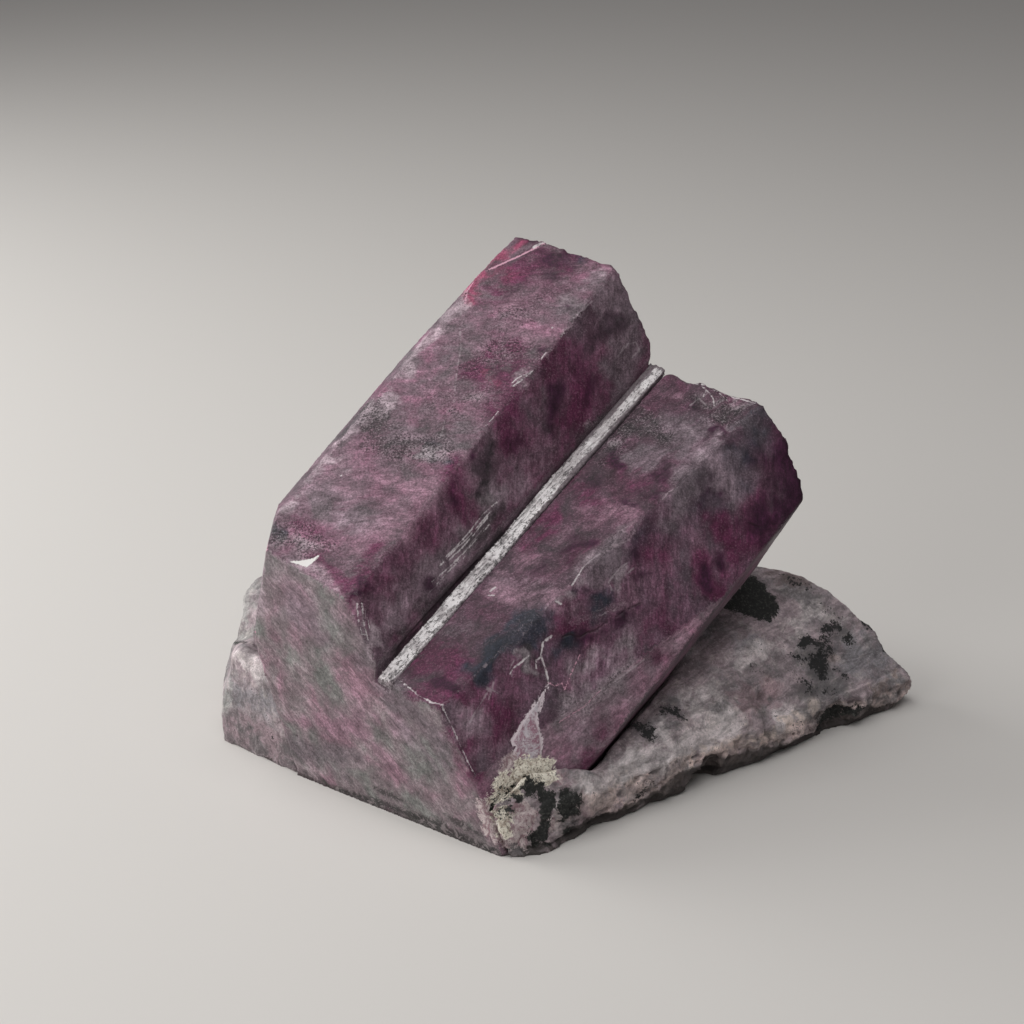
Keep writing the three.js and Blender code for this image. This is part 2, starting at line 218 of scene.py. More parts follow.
def normalsOf(mesh):
    return vectorsOf(mesh.vertex_normals, "vector")


def movePoints(mesh, points):
    mesh.vertices.foreach_set("co", points.astype(np.float32).ravel())
    mesh.update()


def treeOf(*meshes):
    places, faces = [], []
    for mesh in meshes:
        first = len(places)
        places += [v.co for v in mesh.vertices]
        faces += [[first + i for i in p.vertices] for p in mesh.polygons]
    return BVHTree.FromPolygons(places, faces)


def sharpLinePoints(mesh, bend, spacing):
    work = bmesh.new()
    work.from_mesh(mesh)
    points = []
    for edge in work.edges:
        if len(edge.link_faces) == 2 and edge.calc_face_angle(0) > bend:
            a, b = edge.verts[0].co, edge.verts[1].co
            steps = max(1, int((b - a).length / spacing))
            points += [a.lerp(b, i / steps) for i in range(steps + 1)]
    work.free()
    lines = KDTree(len(points))
    for i, point in enumerate(points):
        lines.insert(point, i)
    lines.balance()
    return lines


def easeOut(mesh, points, weight, rounds, pull=0.6):
    # draws each point towards the middle of its neighbours
    ends = np.empty(len(mesh.edges) * 2, np.int32)
    mesh.edges.foreach_get("vertices", ends)
    a, b = ends.reshape(-1, 2).T
    count = np.bincount(a, minlength=len(points)) + np.bincount(b, minlength=len(points))
    for _ in range(rounds):
        total = np.stack([
            np.bincount(a, points[b, k], len(points)) + np.bincount(b, points[a, k], len(points))
            for k in range(3)
        ], axis=1)
        points = points + weight[:, None] * pull * (total / count[:, None] - points)
    return points


def keepInside(points, margin=0.02 * mm):
    low = np.array(cadBox[0]) + margin
    high = np.array(cadBox[1]) - margin
    low[2] = 0
    return np.clip(points, low, high)


def addField(mesh, name, values, kind="FLOAT"):
    field = mesh.attributes.new(name, kind, "POINT")
    key = {"FLOAT": "value", "FLOAT_VECTOR": "vector", "FLOAT_COLOR": "color"}[kind]
    field.data.foreach_set(key, np.asarray(values, np.float32).ravel())


def tidyUp(mesh):
    work = bmesh.new()
    work.from_mesh(mesh)
    bmesh.ops.remove_doubles(work, verts=work.verts, dist=0.08 * mm)
    bmesh.ops.dissolve_degenerate(work, edges=work.edges, dist=0.03 * mm)
    bmesh.ops.recalc_face_normals(work, faces=work.faces)
    for face in work.faces:
        face.smooth = True
    work.to_mesh(mesh)
    work.free()


def refine(mesh, closeness, gap):
    # splits the faces in four where a line or patch comes closer than the gap in mm
    close = closeness(pointsOf(mesh)) > -gap
    work = bmesh.new()
    work.from_mesh(mesh)
    edges = {edge for face in work.faces if any(close[v.index] for v in face.verts) for edge in face.edges}
    bmesh.ops.subdivide_edges(work, edges=list(edges), cuts=1, use_grid_fill=True)
    work.to_mesh(mesh)
    work.free()


# places picked through the camera, in pixels, and what is drawn along them in mm

farOff = -3.0  # what a line or patch says far from it
specimen = treeOf(mergedMesh("beryl_crystals"), mergedMesh("seam_vein"), mergedMesh("rhodonite_matrix"))


def rayThrough(x, y):
    focal = view["lens"] / view["sensor"] * view["pixels"]
    right = (x - view["pixels"] / 2) / focal
    up = (view["pixels"] / 2 - y) / focal
    tilt = view["tiltDown"]
    return Vector((
        right,
        math.cos(tilt) + up * math.sin(tilt),
        -math.sin(tilt) + up * math.cos(tilt),
    )).normalized()


def surfaceAt(x, y, tree=None):
    eye = Vector(view["place"])
    ray = rayThrough(x, y)
    tree = tree or specimen
    place, normal, face, distance = tree.ray_cast(eye, ray)
    if place is None:  # just outside the outline: the nearest part of the surface
        nearest = [tree.find_nearest(eye + ray * d) for d in np.linspace(*view["subject"], 80)]
        place, normal, face, distance = min(nearest, key=lambda hit: hit[3])
    return np.array(place), np.array(normal)


def placesAt(numbers, tree=None):
    # the surface under each picked x, y
    return [surfaceAt(x, y, tree)[0] for x, y in zip(numbers[::2], numbers[1::2])]


def turnedAway(normals):
    # 1 on the faces that the camera can't see
    middle = view["pixels"] / 2
    return between(-normals @ np.array(rayThrough(middle, middle)), 0.05, -0.15)


def gapTo(points, spots):
    nearest = np.full(len(points), np.inf)
    for start, end in zip(spots, spots[1:] or spots):
        line = end - start
        along = np.clip(((points - start) @ line) / max(line @ line, 1e-12), 0, 1)
        nearest = np.minimum(nearest, np.linalg.norm(points - start - along[:, None] * line, axis=1))
    return nearest


def stainField(points, stains, stray=0.0, size=1.0, tree=None):
    # 1 on a stain's line, falling to 0 at its reach; it strays by up to so many mm, in waves of that size
    if stray:
        waves = [layeredNoise(points, size * mm, seed=80 + 10 * k, fall=0.62) for k in range(3)]
        points = points + stray * mm * np.stack(waves, axis=1)
    field = np.zeros(len(points))
    for reach, strength, *line in stains:
        gap = gapTo(points, placesAt(line, tree))
        field = np.maximum(field, strength * np.clip(1 - gap / (reach * mm), 0, 1))
    return field


def lineField(points, lines, tree=None):
    # mm inside the nearest line, each with its half width; negative outside
    field = np.full(len(points), farOff)
    for halfWidth, *line in lines:
        field = np.maximum(field, halfWidth - gapTo(points, placesAt(line, tree)) / mm)
    return field


def patchField(points, outlines, thickness=2.5, tree=None):
    # mm inside the nearest outlined patch; negative outside
    field = np.full(len(points), farOff)
    for outline in outlines:
        corners = np.array(placesAt(outline, tree))
        middle = corners.mean(axis=0)
        across, along, up = np.linalg.svd(corners - middle)[2]
        flat = np.stack([(points - middle) @ across, (points - middle) @ along], axis=1)
        border = np.stack([(corners - middle) @ across, (corners - middle) @ along], axis=1)
        nearest = np.full(len(points), np.inf)
        inside = np.zeros(len(points), bool)
        for start, end in zip(border, np.roll(border, -1, axis=0)):
            line = end - start
            share = np.clip((flat - start) @ line / (line @ line), 0, 1)
            nearest = np.minimum(nearest, np.linalg.norm(flat - start - share[:, None] * line, axis=1))
            crossing = (start[1] > flat[:, 1]) != (end[1] > flat[:, 1])
            turn = start[0] + (flat[:, 1] - start[1]) * line[0] / (line[1] or 1e-12)
            inside ^= crossing & (flat[:, 0] < turn)
        height = np.abs((points - middle) @ up)
        depth = np.minimum(np.where(inside, nearest, -nearest), thickness * mm - height)
        field = np.maximum(field, depth / mm)
    return field


# shader helpers

def addNode(tree, kind, inputs=None, **settings):
    node = tree.nodes.new(kind)
    for key, value in settings.items():
        setattr(node, key, value)
    for key, value in (inputs or {}).items():
        giveInput(tree, node.inputs[key], value)
    return node


def giveInput(tree, socket, value):
    if isinstance(value, bpy.types.NodeSocket):
        tree.links.new(value, socket)
    else:
        socket.default_value = value


def asColour(value):
    return value if isinstance(value, bpy.types.NodeSocket) else (*value, 1)


class Stone:
    # a material with a piece's settings, painted coat by coat over its first colour
    def __init__(self, name, settings):
        self.material = bpy.data.materials.new(name)
        self.material.use_nodes = True
        self.tree = self.material.node_tree
        self.shader = self.tree.nodes["Principled BSDF"]
        self.settings = settings

    def add(self, kind, inputs=None, **settings):
        return addNode(self.tree, kind, inputs, **settings)

    def objectPlace(self):
        return self.add("ShaderNodeTexCoord").outputs["Object"]

    def field(self, name, output="Fac"):
        return self.add("ShaderNodeAttribute", attribute_name=name).outputs[output]

    def noise(self, name, vector):
        scale, detail, roughness, distortion, *stretch = self.settings["noises"][name]
        if stretch:
            stretched = self.add("ShaderNodeVectorMath", {0: vector, 1: stretch[0]}, operation="MULTIPLY")
            vector = stretched.outputs["Vector"]
        return self.add("ShaderNodeTexNoise", {
            "Vector": vector, "Scale": scale, "Detail": detail,
            "Roughness": roughness, "Distortion": distortion,
        }).outputs["Fac"]

    def math(self, operation, a, b=0.0):
        return self.add("ShaderNodeMath", {0: a, 1: b}, operation=operation).outputs[0]

    def times(self, a, b):
        return self.math("MULTIPLY", a, b)

    def minus(self, a, b):
        return self.math("SUBTRACT", a, b)

    def larger(self, a, b):
        return self.math("MAXIMUM", a, b)

    def plus(self, total, *others):
        for value in others:
            total = self.math("ADD", total, value)
        return total

    def swing(self, noise, amount):
        # a noise about zero, so many times as strong
        return self.times(self.minus(noise, 0.5), amount)

    def ramp(self, value, low, high, bottom=0.0, top=1.0):
        return self.add("ShaderNodeMapRange", {
            "Value": value, "From Min": low, "From Max": high, "To Min": bottom, "To Max": top,
        }, interpolation_type="SMOOTHSTEP").outputs["Result"]

    def stain(self, name, low, high, most=1.0):
        # a stain is ragged, but adds nothing where there is none
        field = self.field(name + "Stain")
        frayed = self.times(self.ragged, self.ramp(field, 0.0, self.settings["frayed"]))
        return self.ramp(self.plus(field, frayed), low, high, 0, most)

    def mark(self, name, roughly, soft=0.06):
        # inside a line or patch, with a rough and more or less soft border
        return self.ramp(self.plus(self.field(name), roughly), -soft, soft)

    def unseen(self, value, low, high, most):
        # only on the faces at the back
        return self.times(self.ramp(value, low, high, 0, most), self.field("hidden"))

    def mix(self, share, under, over, blend="MIX"):
        node = self.add("ShaderNodeMix", data_type="RGBA", blend_type=blend)
        for i, value in ((0, share), (6, asColour(under)), (7, asColour(over))):
            giveInput(self.tree, node.inputs[i], value)
        return node.outputs[2]

    def layered(self, colour, *coats):
        for share, over in coats:
            colour = self.mix(share, colour, over)
        return colour

    def coat(self, share, over, blend="MIX"):
        self.colour = self.mix(share, self.colour, over, blend)

    def brighten(self, tone, middle):
        # twice as bright for each whole step of the tone above its middle
        amount = self.math("POWER", 2.0, self.minus(tone, middle))
        self.colour = self.add("ShaderNodeVectorMath", {0: self.colour, "Scale": amount},
                               operation="SCALE").outputs["Vector"]

    def finish(self, roughness, relief):
        strength, distance = self.settings["bump"]
        bump = self.add("ShaderNodeBump", {"Height": relief, "Strength": strength, "Distance": distance})
        finals = {"Base Color": self.colour, "Roughness": roughness, "Normal": bump.outputs["Normal"]}
        for key, value in finals.items():
            giveInput(self.tree, self.shader.inputs[key], value)
        return self.material


# beryl crystals

beryl = {
    "node": "beryl_crystals",
    "slot": "beryl",
    "voxel": 0.72 * mm,
    "edgeBend": math.radians(12),  # a sharper bend between two faces is an edge
    "edgeSpacing": 0.15 * mm,
    "snap": {"coarse": 0.6, "fine": 0.4},  # how many voxels from an edge a point is drawn onto it
    "finerNear": {"edge": 0.45, "outline": 0.25, "line": 0.12},  # mm
    "ridges": [
        [618, 267, 565, 332, 512, 386, 475, 445, 410, 516, 358, 606],
        [765, 407, 691, 464, 629, 534, 561, 596, 441, 707],
    ],
    "ridgeReach": 2.4,  # mm either side of a soft ridge that is rounded
    "ridgeRounds": 8,
    "edgeReach": (0.85 * mm, 0.35 * mm),  # edges are rounded from the first to the second
    "edgeRounds": 6,
    "waves": {  # mm, seed, layers
        "chips": (4, 11, 4), "nicks": (1.2, 21, 1), "foot": (1.6, 47, 3),
        "grooves": (0.9, 31, 1), "pits": (1.1, 41, 2), "swell": (9, 45, 3),
    },
    "depths": {  # mm
        "wear": 0.08, "grooves": 0.025, "pits": 0.05, "swell": 0.08, "foot": 0.25,
        "crack": 0.16, "white": 0.08, "vein": 0.12, "cream": 0.15,
    },
    "stray": (2.2, 7),  # mm that stains stray, and the size of their waves
    "frayed": 0.6,  # where inwards a stain is fully ragged
    "tone": {"drift": 2.6, "mottle": 3.6, "middle": 3.12},
    "specular": 0.25,
    "bump": (0.4, 0.15 * mm),  # strength, distance
}

beryl["faces"] = {  # a place on the face, two that its grain runs between, its tint, and how speckled it is
    "leftTop": ((420, 440), (380, 440, 440, 436), (0.190, 0.114, 0.150), 1.0),
    "leftWall": ((560, 430), (560, 460, 562, 400), (0.135, 0.066, 0.100), 0.5),
    "frontCut": ((330, 660), (300, 620, 360, 690), (0.238, 0.186, 0.204), 0.4),
    "rightTop": ((590, 520), (560, 560, 620, 520), (0.104, 0.055, 0.080), 0.8),
    "rightWall": ((700, 500), (700, 540, 702, 470), (0.122, 0.066, 0.097), 0.35),
    "rightFoot": ((560, 760), (560, 770, 590, 740), (0.238, 0.146, 0.188), 0.3),
}
beryl["otherFaces"] = ((0.155, 0.098, 0.128), 0.6)

# stains: reach in mm, strength, and the picked x, y of the line they follow
beryl["stains"] = {
    "pink": [
        (4, 0.9, 441, 462, 463, 464), (4.5, 0.9, 462, 468, 423, 492, 410, 516, 391, 531, 357, 547),
        (5, 0.6, 330, 478, 372, 486, 415, 480), (3.5, 0.6, 345, 445, 335, 460),
        (4, 0.7, 478, 298, 515, 300), (3, 0.6, 445, 385, 465, 352), (3, 0.5, 440, 330, 430, 350),
        (4, 0.5, 520, 330, 548, 338), (5, 0.6, 583, 508, 631, 515), (4, 0.6, 560, 535, 585, 525),
        (4, 0.9, 501, 592, 530, 600, 560, 595), (5, 0.7, 500, 565, 540, 560), (3, 0.7, 655, 385, 675, 395),
        (6, 0.7, 690, 560, 660, 575, 640, 600), (4, 0.8, 604, 735, 588, 752),
        (3.5, 0.8, 343, 722, 371, 727), (3.5, 0.7, 225, 722, 268, 722, 334, 724),
        (3, 0.5, 288, 640, 300, 655), (4, 0.6, 380, 750, 415, 792), (2.5, 0.8, 310, 568, 353, 598),
        (4, 0.9, 470, 785, 495, 802), (4, 0.6, 330, 690, 350, 705), (3.5, 0.6, 430, 640, 440, 655),
    ],
    "magenta": [
        (5, 1, 478, 366, 512, 378, 520, 362), (3, 0.6, 470, 385, 500, 398), (3, 0.5, 500, 340, 530, 350),
        (3.5, 0.5, 298, 522, 322, 530), (4, 0.75, 326, 562, 348, 580), (3.5, 1, 352, 586, 371, 575),
        (3.5, 0.8, 372, 560, 380, 545), (5.5, 1, 512, 395, 508, 450), (6, 1, 575, 375, 588, 400, 570, 430),
        (4, 0.8, 548, 362, 572, 352), (4.5, 0.9, 452, 478, 466, 500, 455, 510),
        (4, 0.7, 430, 540, 440, 525), (4, 0.35, 395, 560, 412, 585), (3, 0.6, 600, 385, 602, 405),
        (4, 0.3, 470, 480, 480, 520), (4, 0.8, 500, 282, 545, 262, 570, 262), (3, 0.5, 520, 242, 535, 240),
        (3, 0.5, 480, 300, 500, 292), (3, 0.7, 598, 462, 620, 478), (3.5, 0.6, 590, 500, 560, 470),
        (4, 0.6, 545, 520, 530, 545), (3.5, 0.6, 640, 490, 660, 480), (3, 0.6, 600, 540, 575, 550),
        (5, 1.1, 414, 668, 440, 658, 464, 668), (4, 1, 425, 690, 456, 700), (4, 0.8, 480, 775, 488, 795),
        (4, 0.8, 502, 708, 486, 745), (3, 0.6, 455, 735, 470, 760), (4.5, 1, 720, 524, 735, 550),
        (4, 1, 700, 568, 716, 580), (5, 0.7, 655, 560, 690, 590), (5, 0.7, 640, 640, 665, 612),
        (6, 1, 788, 460, 795, 497, 765, 528), (5, 0.7, 745, 500, 750, 545), (4, 0.7, 600, 738, 590, 760),
        (4, 0.6, 560, 620, 590, 640),
    ],
    "plum": [
        # the first plum stain is painted shadow along the fold under the crack on the right crystal's wall
        (1.6, 0.9, 570, 640, 600, 633, 622, 620, 641, 608), (3, 1, 548, 384, 551, 410, 545, 432),
        (2.8, 0.58, 615, 327, 590, 345, 572, 368), (2.2, 0.9, 590, 380, 588, 400),
        (2.4, 0.9, 516, 425, 512, 450), (1.4, 0.9, 472, 455, 472, 462), (1.8, 1, 485, 450, 484, 480),
        (2, 0.8, 458, 485, 450, 500), (2.2, 0.7, 425, 590, 438, 600), (1.2, 1, 494, 364, 503, 372),
        (1.1, 1, 500, 378, 507, 385), (1, 0.9, 465, 386), (1.2, 0.9, 540, 350, 546, 350),
        (0.9, 1, 546, 287), (1.6, 0.7, 590, 292, 596, 298), (1.5, 0.6, 568, 306, 578, 306),
        (2.4, 0.8, 545, 260, 572, 254), (2, 0.8, 538, 276, 565, 272), (2, 0.8, 512, 242, 528, 240),
        (1.6, 0.7, 505, 290, 520, 284), (1.8, 1, 352, 586, 358, 590), (1.8, 0.9, 362, 580, 370, 583),
        (2, 0.9, 628, 495, 632, 505), (2, 0.8, 658, 476, 666, 470), (2, 0.8, 648, 492, 655, 488),
        (2.6, 0.9, 606, 450, 618, 470), (2.4, 0.8, 585, 470, 596, 482), (2.5, 0.9, 572, 540, 596, 538),
        (2.4, 0.8, 560, 550, 578, 548), (2.4, 0.7, 530, 575, 550, 562), (2, 0.7, 690, 404, 702, 410),
        (2, 0.8, 715, 425, 735, 428), (2.6, 1, 434, 683, 454, 690), (2, 0.9, 405, 672, 414, 678),
        (3, 0.8, 482, 660, 498, 655), (8, 1.4, 788, 462, 793, 484, 799, 500, 783, 514),
        (2.5, 0.8, 750, 525, 770, 530), (2.4, 1.1, 706, 573, 716, 567), (1.2, 1, 705, 585),
        (1, 0.9, 684, 597), (2, 1, 648, 574, 656, 582), (1.3, 1, 596, 600), (1.8, 0.5, 642, 552, 646, 558),
        (3, 0.6, 750, 455, 756, 490, 752, 515), (2, 0.6, 708, 478, 708, 498),
        (2.4, 0.7, 625, 680, 635, 676), (1.2, 1, 515, 236, 526, 240),
    ],
    "dusk": [
        (6, 0.9, 508, 275, 550, 258, 575, 262), (5, 0.7, 520, 300, 560, 290), (5, 0.8, 600, 470, 640, 500),
        (5, 0.8, 560, 560, 600, 535), (5, 0.7, 560, 490, 590, 460), (6, 0.9, 772, 500, 758, 470),
        (5, 0.8, 500, 480, 520, 440), (5, 0.8, 590, 425, 555, 450), (5, 0.6, 470, 372, 510, 366),
        (5, 0.7, 640, 380, 665, 400), (4, 0.8, 600, 612, 560, 630), (4, 0.6, 470, 640, 500, 625),
        (4, 0.6, 520, 700, 505, 730),
    ],
    "mauve": [
        (5, 0.6, 588, 676, 630, 642), (6, 1, 396, 612, 418, 588, 444, 560),
        (6, 1, 458, 532, 476, 508, 496, 482, 512, 466), (6, 0.8, 330, 490, 380, 520),
        (6, 0.8, 290, 590, 325, 625), (5, 0.7, 405, 735, 440, 770), (6, 0.8, 700, 450, 735, 480),
        (5, 0.8, 460, 720, 490, 745), (5, 0.7, 505, 580, 545, 600), (5, 0.7, 575, 715, 600, 740),
        (4, 0.7, 640, 425, 680, 430),
    ],
    "grainy": [
        (6, 0.5, 470, 362, 505, 352, 535, 358), (5, 0.45, 500, 320, 545, 305), (4, 0.5, 455, 428, 478, 402),
        (4, 1, 626, 420, 655, 432), (4, 1, 602, 440, 640, 415), (5, 1, 385, 448, 435, 450),
        (4, 1, 368, 405, 380, 425), (5, 1, 276, 530, 315, 548), (4, 0.4, 598, 655, 622, 645),
        (4, 0.4, 572, 702, 600, 690, 632, 668), (4, 0.8, 590, 470, 620, 450), (4, 0.8, 692, 400, 740, 408),
        (6, 0.5, 430, 400, 500, 400),
    ],
    "grey": [
        (4, 0.9, 752, 420, 766, 436, 774, 454), (1.4, 1, 516, 668, 528, 664, 540, 672),
        (5, 0.5, 330, 500, 380, 500), (5, 0.5, 398, 612, 440, 565), (5, 0.9, 390, 430, 440, 440, 465, 432),
        (4, 0.8, 385, 400, 370, 410), (4, 0.9, 600, 278, 585, 300, 556, 312), (4, 0.5, 400, 400, 440, 405),
        (3.5, 0.7, 350, 515, 375, 503), (3, 0.6, 316, 535, 330, 525), (3.5, 0.6, 455, 340, 440, 365),
        (4, 0.5, 520, 312, 490, 330), (6, 1, 605, 300, 622, 320), (6, 1, 622, 350, 636, 340, 612, 385),
        (3, 0.7, 536, 388, 534, 420), (3.5, 0.8, 490, 420, 486, 450), (4, 0.7, 385, 600, 425, 570),
        (4, 0.6, 566, 440, 540, 462), (5, 0.6, 390, 625, 405, 600), (5, 0.9, 640, 462, 680, 440, 700, 420),
        (4, 0.9, 650, 455, 622, 472), (4, 0.6, 520, 545, 498, 562), (3.5, 0.6, 560, 580, 575, 570),
        (4, 0.8, 458, 620, 438, 642), (6, 1, 690, 482, 716, 470, 730, 500), (5, 0.9, 676, 500, 672, 520),
        (5, 0.9, 612, 545, 600, 575), (5, 0.8, 740, 460, 725, 440), (4, 0.6, 640, 640, 650, 660),
        (6, 0.5, 285, 610, 330, 645), (5, 0.8, 390, 690, 440, 735), (5, 0.8, 290, 748, 348, 762),
        (5, 0.7, 430, 722, 450, 770), (5, 0.7, 360, 640, 380, 670),
    ],
    "slate": [
        (4.2, 1.3, 484, 660, 505, 650, 528, 636), (3.6, 1.2, 514, 634, 537, 618),
        (2.6, 1, 515, 645, 538, 642), (2.6, 0.9, 555, 648, 572, 644), (3, 0.9, 585, 612, 603, 603),
        (4, 0.6, 757, 412, 768, 438), (4, 0.6, 750, 445, 735, 480), (2.4, 1, 279, 520, 284, 535),
        (2.4, 0.8, 425, 447, 440, 460), (2.6, 0.6, 568, 598, 578, 590), (3, 0.4, 655, 515, 645, 545),
        (2.5, 0.8, 574, 252, 584, 260), (2.5, 0.7, 352, 424, 358, 420), (3, 0.35, 700, 510, 722, 505),
    ],
    "dark": [
        (2.2, 0.5, 624, 322, 600, 336, 584, 356), (1.3, 1, 524, 652, 536, 656, 545, 652),
        (3, 1, 368, 405, 380, 415, 374, 430), (2, 0.7, 352, 424, 362, 420), (1.5, 0.9, 365, 447),
        (1.5, 0.9, 381, 462), (3.4, 0.8, 385, 446, 432, 452), (3, 0.7, 425, 424, 442, 430),
        (2.6, 0.6, 452, 436, 466, 442), (2.4, 0.6, 360, 503, 384, 505), (3, 0.7, 276, 520, 280, 540),
        (2.4, 0.9, 486, 450, 486, 495), (3, 1, 626, 422, 652, 436), (2.5, 0.9, 640, 412, 655, 425),
        (2.6, 0.8, 610, 440, 596, 455), (2.6, 0.9, 692, 398, 735, 406), (3, 0.6, 590, 470, 606, 482),
        # the next dark stain is painted shade in the crevice beside the quartz strip
        (2.4, 0.9, 398, 645, 420, 618, 450, 586, 480, 556, 500, 536),
        (3, 0.7, 440, 560, 470, 535, 500, 505), (1.8, 0.7, 598, 430, 570, 460, 545, 486),
        (2, 0.8, 404, 676, 412, 668), (2, 0.9, 536, 655, 530, 665), (2.4, 0.6, 375, 590, 384, 596),
        # the first dark stain on the next line is painted shade where the front cut meets the floor
        (1.6, 1, 222, 740, 300, 775, 400, 822, 512, 857), (2, 0.8, 440, 818, 455, 826),
    ],
    "frost": [
        (4, 0.55, 575, 692, 600, 674, 628, 654), (4, 0.35, 470, 512, 500, 485, 520, 466),
        (4, 0.3, 400, 604, 440, 566), (1.2, 0.8, 517, 668, 528, 663, 539, 670), (4, 1, 598, 655, 622, 645),
        (3.5, 1, 572, 702, 600, 690, 632, 668), (3.5, 0.9, 590, 665, 574, 684),
        (2.2, 0.9, 617, 576, 631, 564), (1.8, 0.9, 612, 583, 614, 590), (3, 0.8, 422, 458, 438, 452),
        (3, 0.8, 276, 548, 320, 552), (3, 0.5, 556, 300, 584, 296), (3, 0.5, 468, 400, 492, 400),
        (2.4, 0.8, 560, 600, 571, 606), (2.4, 0.8, 696, 388, 712, 400), (2, 0.8, 736, 398, 757, 406),
        (3.5, 0.7, 318, 462, 290, 500), (3, 0.5, 690, 424, 646, 420), (2.6, 0.8, 600, 433, 618, 436),
        (3, 0.7, 445, 300, 462, 292), (2.6, 0.6, 330, 455, 345, 470), (2, 0.9, 513, 386, 526, 376),
    ],
    "red": [
        (3, 1, 474, 271, 486, 263, 500, 255), (2.2, 0.8, 504, 250, 514, 246), (2.6, 1, 478, 279, 469, 296),
        (2.6, 0.25, 486, 280, 506, 272), (1.6, 0.5, 488, 372, 500, 382),
    ],
    "pale": [
        (2.4, 1, 457, 301, 450, 312, 445, 325), (2.2, 0.6, 262, 557, 276, 567, 296, 575),
        # the first pale stain on the next line is a painted pinkish reflection along the left crystal's left
        # outline
        (2.4, 0.9, 284, 512, 306, 484, 346, 440, 404, 372, 466, 298), (2.4, 0.9, 448, 304, 463, 296),
        # the three pale stains that follow the ridges, the two on the next line and the first on the line
        # after, are frosted ridges with a painted highlight
        (1.8, 0.5, 620, 268, 595, 298, 560, 338, 545, 357), (2.2, 0.5, 725, 430, 690, 465, 662, 492),
        (2.2, 0.5, 620, 535, 590, 560, 575, 580), (2, 0.8, 361, 604, 365, 625, 374, 650),
        (3, 0.7, 268, 560, 260, 600), (3.4, 0.55, 300, 568, 332, 592),
    ],
}

# thin marks: half width in mm, and the line they follow
beryl["lines"] = {
    "rosy": [
        (0.2, 471, 276, 492, 268, 515, 258, 531, 250, 546, 242), (0.16, 471, 279, 467, 291, 465, 303),
        (0.14, 255, 632, 259, 590, 266, 550, 272, 520),
        (0.07, 548, 682, 555, 686, 562, 683, 565, 690, 572, 672, 580, 655),
        (0.05, 601, 690, 585, 706, 560, 722),
    ],
    "white": [
        (0.28, 534, 247, 540, 243, 545, 242), (0.2, 511, 387, 514, 386),
        (0.12, 514, 385, 521, 380, 526, 376, 532, 371), (0.08, 512, 382, 518, 377, 526, 374),
        (0.09, 498, 411, 492, 418, 486, 425), (0.15, 552, 327), (0.1, 561, 337, 565, 332),
        (0.08, 541, 359, 546, 352), (0.07, 443, 560, 458, 545, 472, 529, 484, 513, 497, 502),
        (0.05, 440, 566, 455, 550, 468, 538, 480, 524, 492, 510),
        (0.06, 447, 562, 462, 548, 476, 532, 488, 517), (0.05, 450, 566, 464, 553, 478, 538, 490, 524),
        (0.05, 437, 584, 452, 568, 466, 556), (0.04, 432, 582, 446, 570, 458, 560),
        (0.12, 583, 567, 577, 577, 572, 585), (0.18, 556, 601, 561, 604), (0.18, 546, 640, 552, 636),
        (0.14, 543, 642, 541, 655, 545, 668, 549, 682),
        # the first white line on the next line is a painted highlight curl at the right crystal's foot
        (0.1, 510, 674, 513, 668, 519, 664, 526, 658, 530, 655), (0.14, 536, 668, 536, 660, 541, 657),
        (0.11, 398, 680, 410, 688, 420, 696, 430, 701), (0.14, 400, 681, 406, 685),
        (0.16, 430, 702, 437, 703, 443, 705), (0.14, 441, 704, 444, 710),
        (0.08, 444, 710, 452, 726, 460, 744, 468, 762, 475, 774), (0.14, 490, 591, 495, 587),
        (0.1, 488, 595, 494, 595), (0.07, 702, 386, 709, 392, 713, 398, 714, 405),
        (0.04, 706, 390, 703, 396), (0.05, 713, 389, 721, 394, 728, 401),
        (0.04, 724, 391, 735, 397, 742, 403), (0.16, 693, 380, 704, 384),
        (0.14, 716, 388, 735, 395, 750, 401, 765, 408), (0.08, 357, 601, 358, 618, 362, 634),
        (0.06, 362, 603, 364, 622, 368, 640), (0.05, 366, 606, 370, 628), (0.14, 341, 475), (0.1, 315, 505),
    ],
    "faint": [
        (0.07, 461, 305, 460, 330, 461, 350), (0.06, 460, 352, 456, 378, 454, 402),
        (0.08, 450, 404, 447, 412, 441, 436), (0.13, 574, 317, 583, 310, 592, 301),
        (0.1, 622, 352, 628, 344, 636, 342, 640, 352), (0.09, 618, 357, 624, 346),
        (0.08, 632, 358, 640, 349), (0.14, 584, 566, 592, 559, 600, 554),
        # the faint curls around 487, 689 on this line and the next are painted highlights at the right
        # crystal's foot
        (0.12, 470, 722, 476, 711, 483, 700, 489, 690), (0.18, 487, 689, 492, 690),
        (0.1, 489, 699, 492, 690, 494, 682), (0.1, 485, 686, 498, 693),
        (0.12, 612, 590, 609, 582, 614, 575, 620, 568, 627, 563), (0.12, 628, 573, 634, 568),
        (0.11, 645, 659, 620, 678, 600, 691), (0.1, 600, 440, 560, 485, 520, 525, 490, 560),
        (0.1, 366, 606, 365, 622), (0.08, 430, 592, 446, 578), (0.09, 455, 562, 470, 545, 484, 528),
        (0.1, 512, 676, 510, 668, 514, 661), (0.1, 380, 697, 392, 706),
        (0.12, 690, 405, 699, 398, 706, 405),
    ],
    "crack": [
        (0.07, 562, 637, 571, 634, 580, 637, 588, 632, 596, 631, 604, 624, 614, 618, 628, 609, 641, 603),
        (0.1, 590, 632, 598, 629, 606, 622), (0.08, 232, 707, 262, 722, 297, 736),
        # the wide crack on the next line is painted shade in the crevice beside the quartz strip, also cut in
        # a little
        (0.12, 750, 523, 760, 527), (0.25, 398, 648, 420, 622, 450, 590, 478, 560),
    ],
}

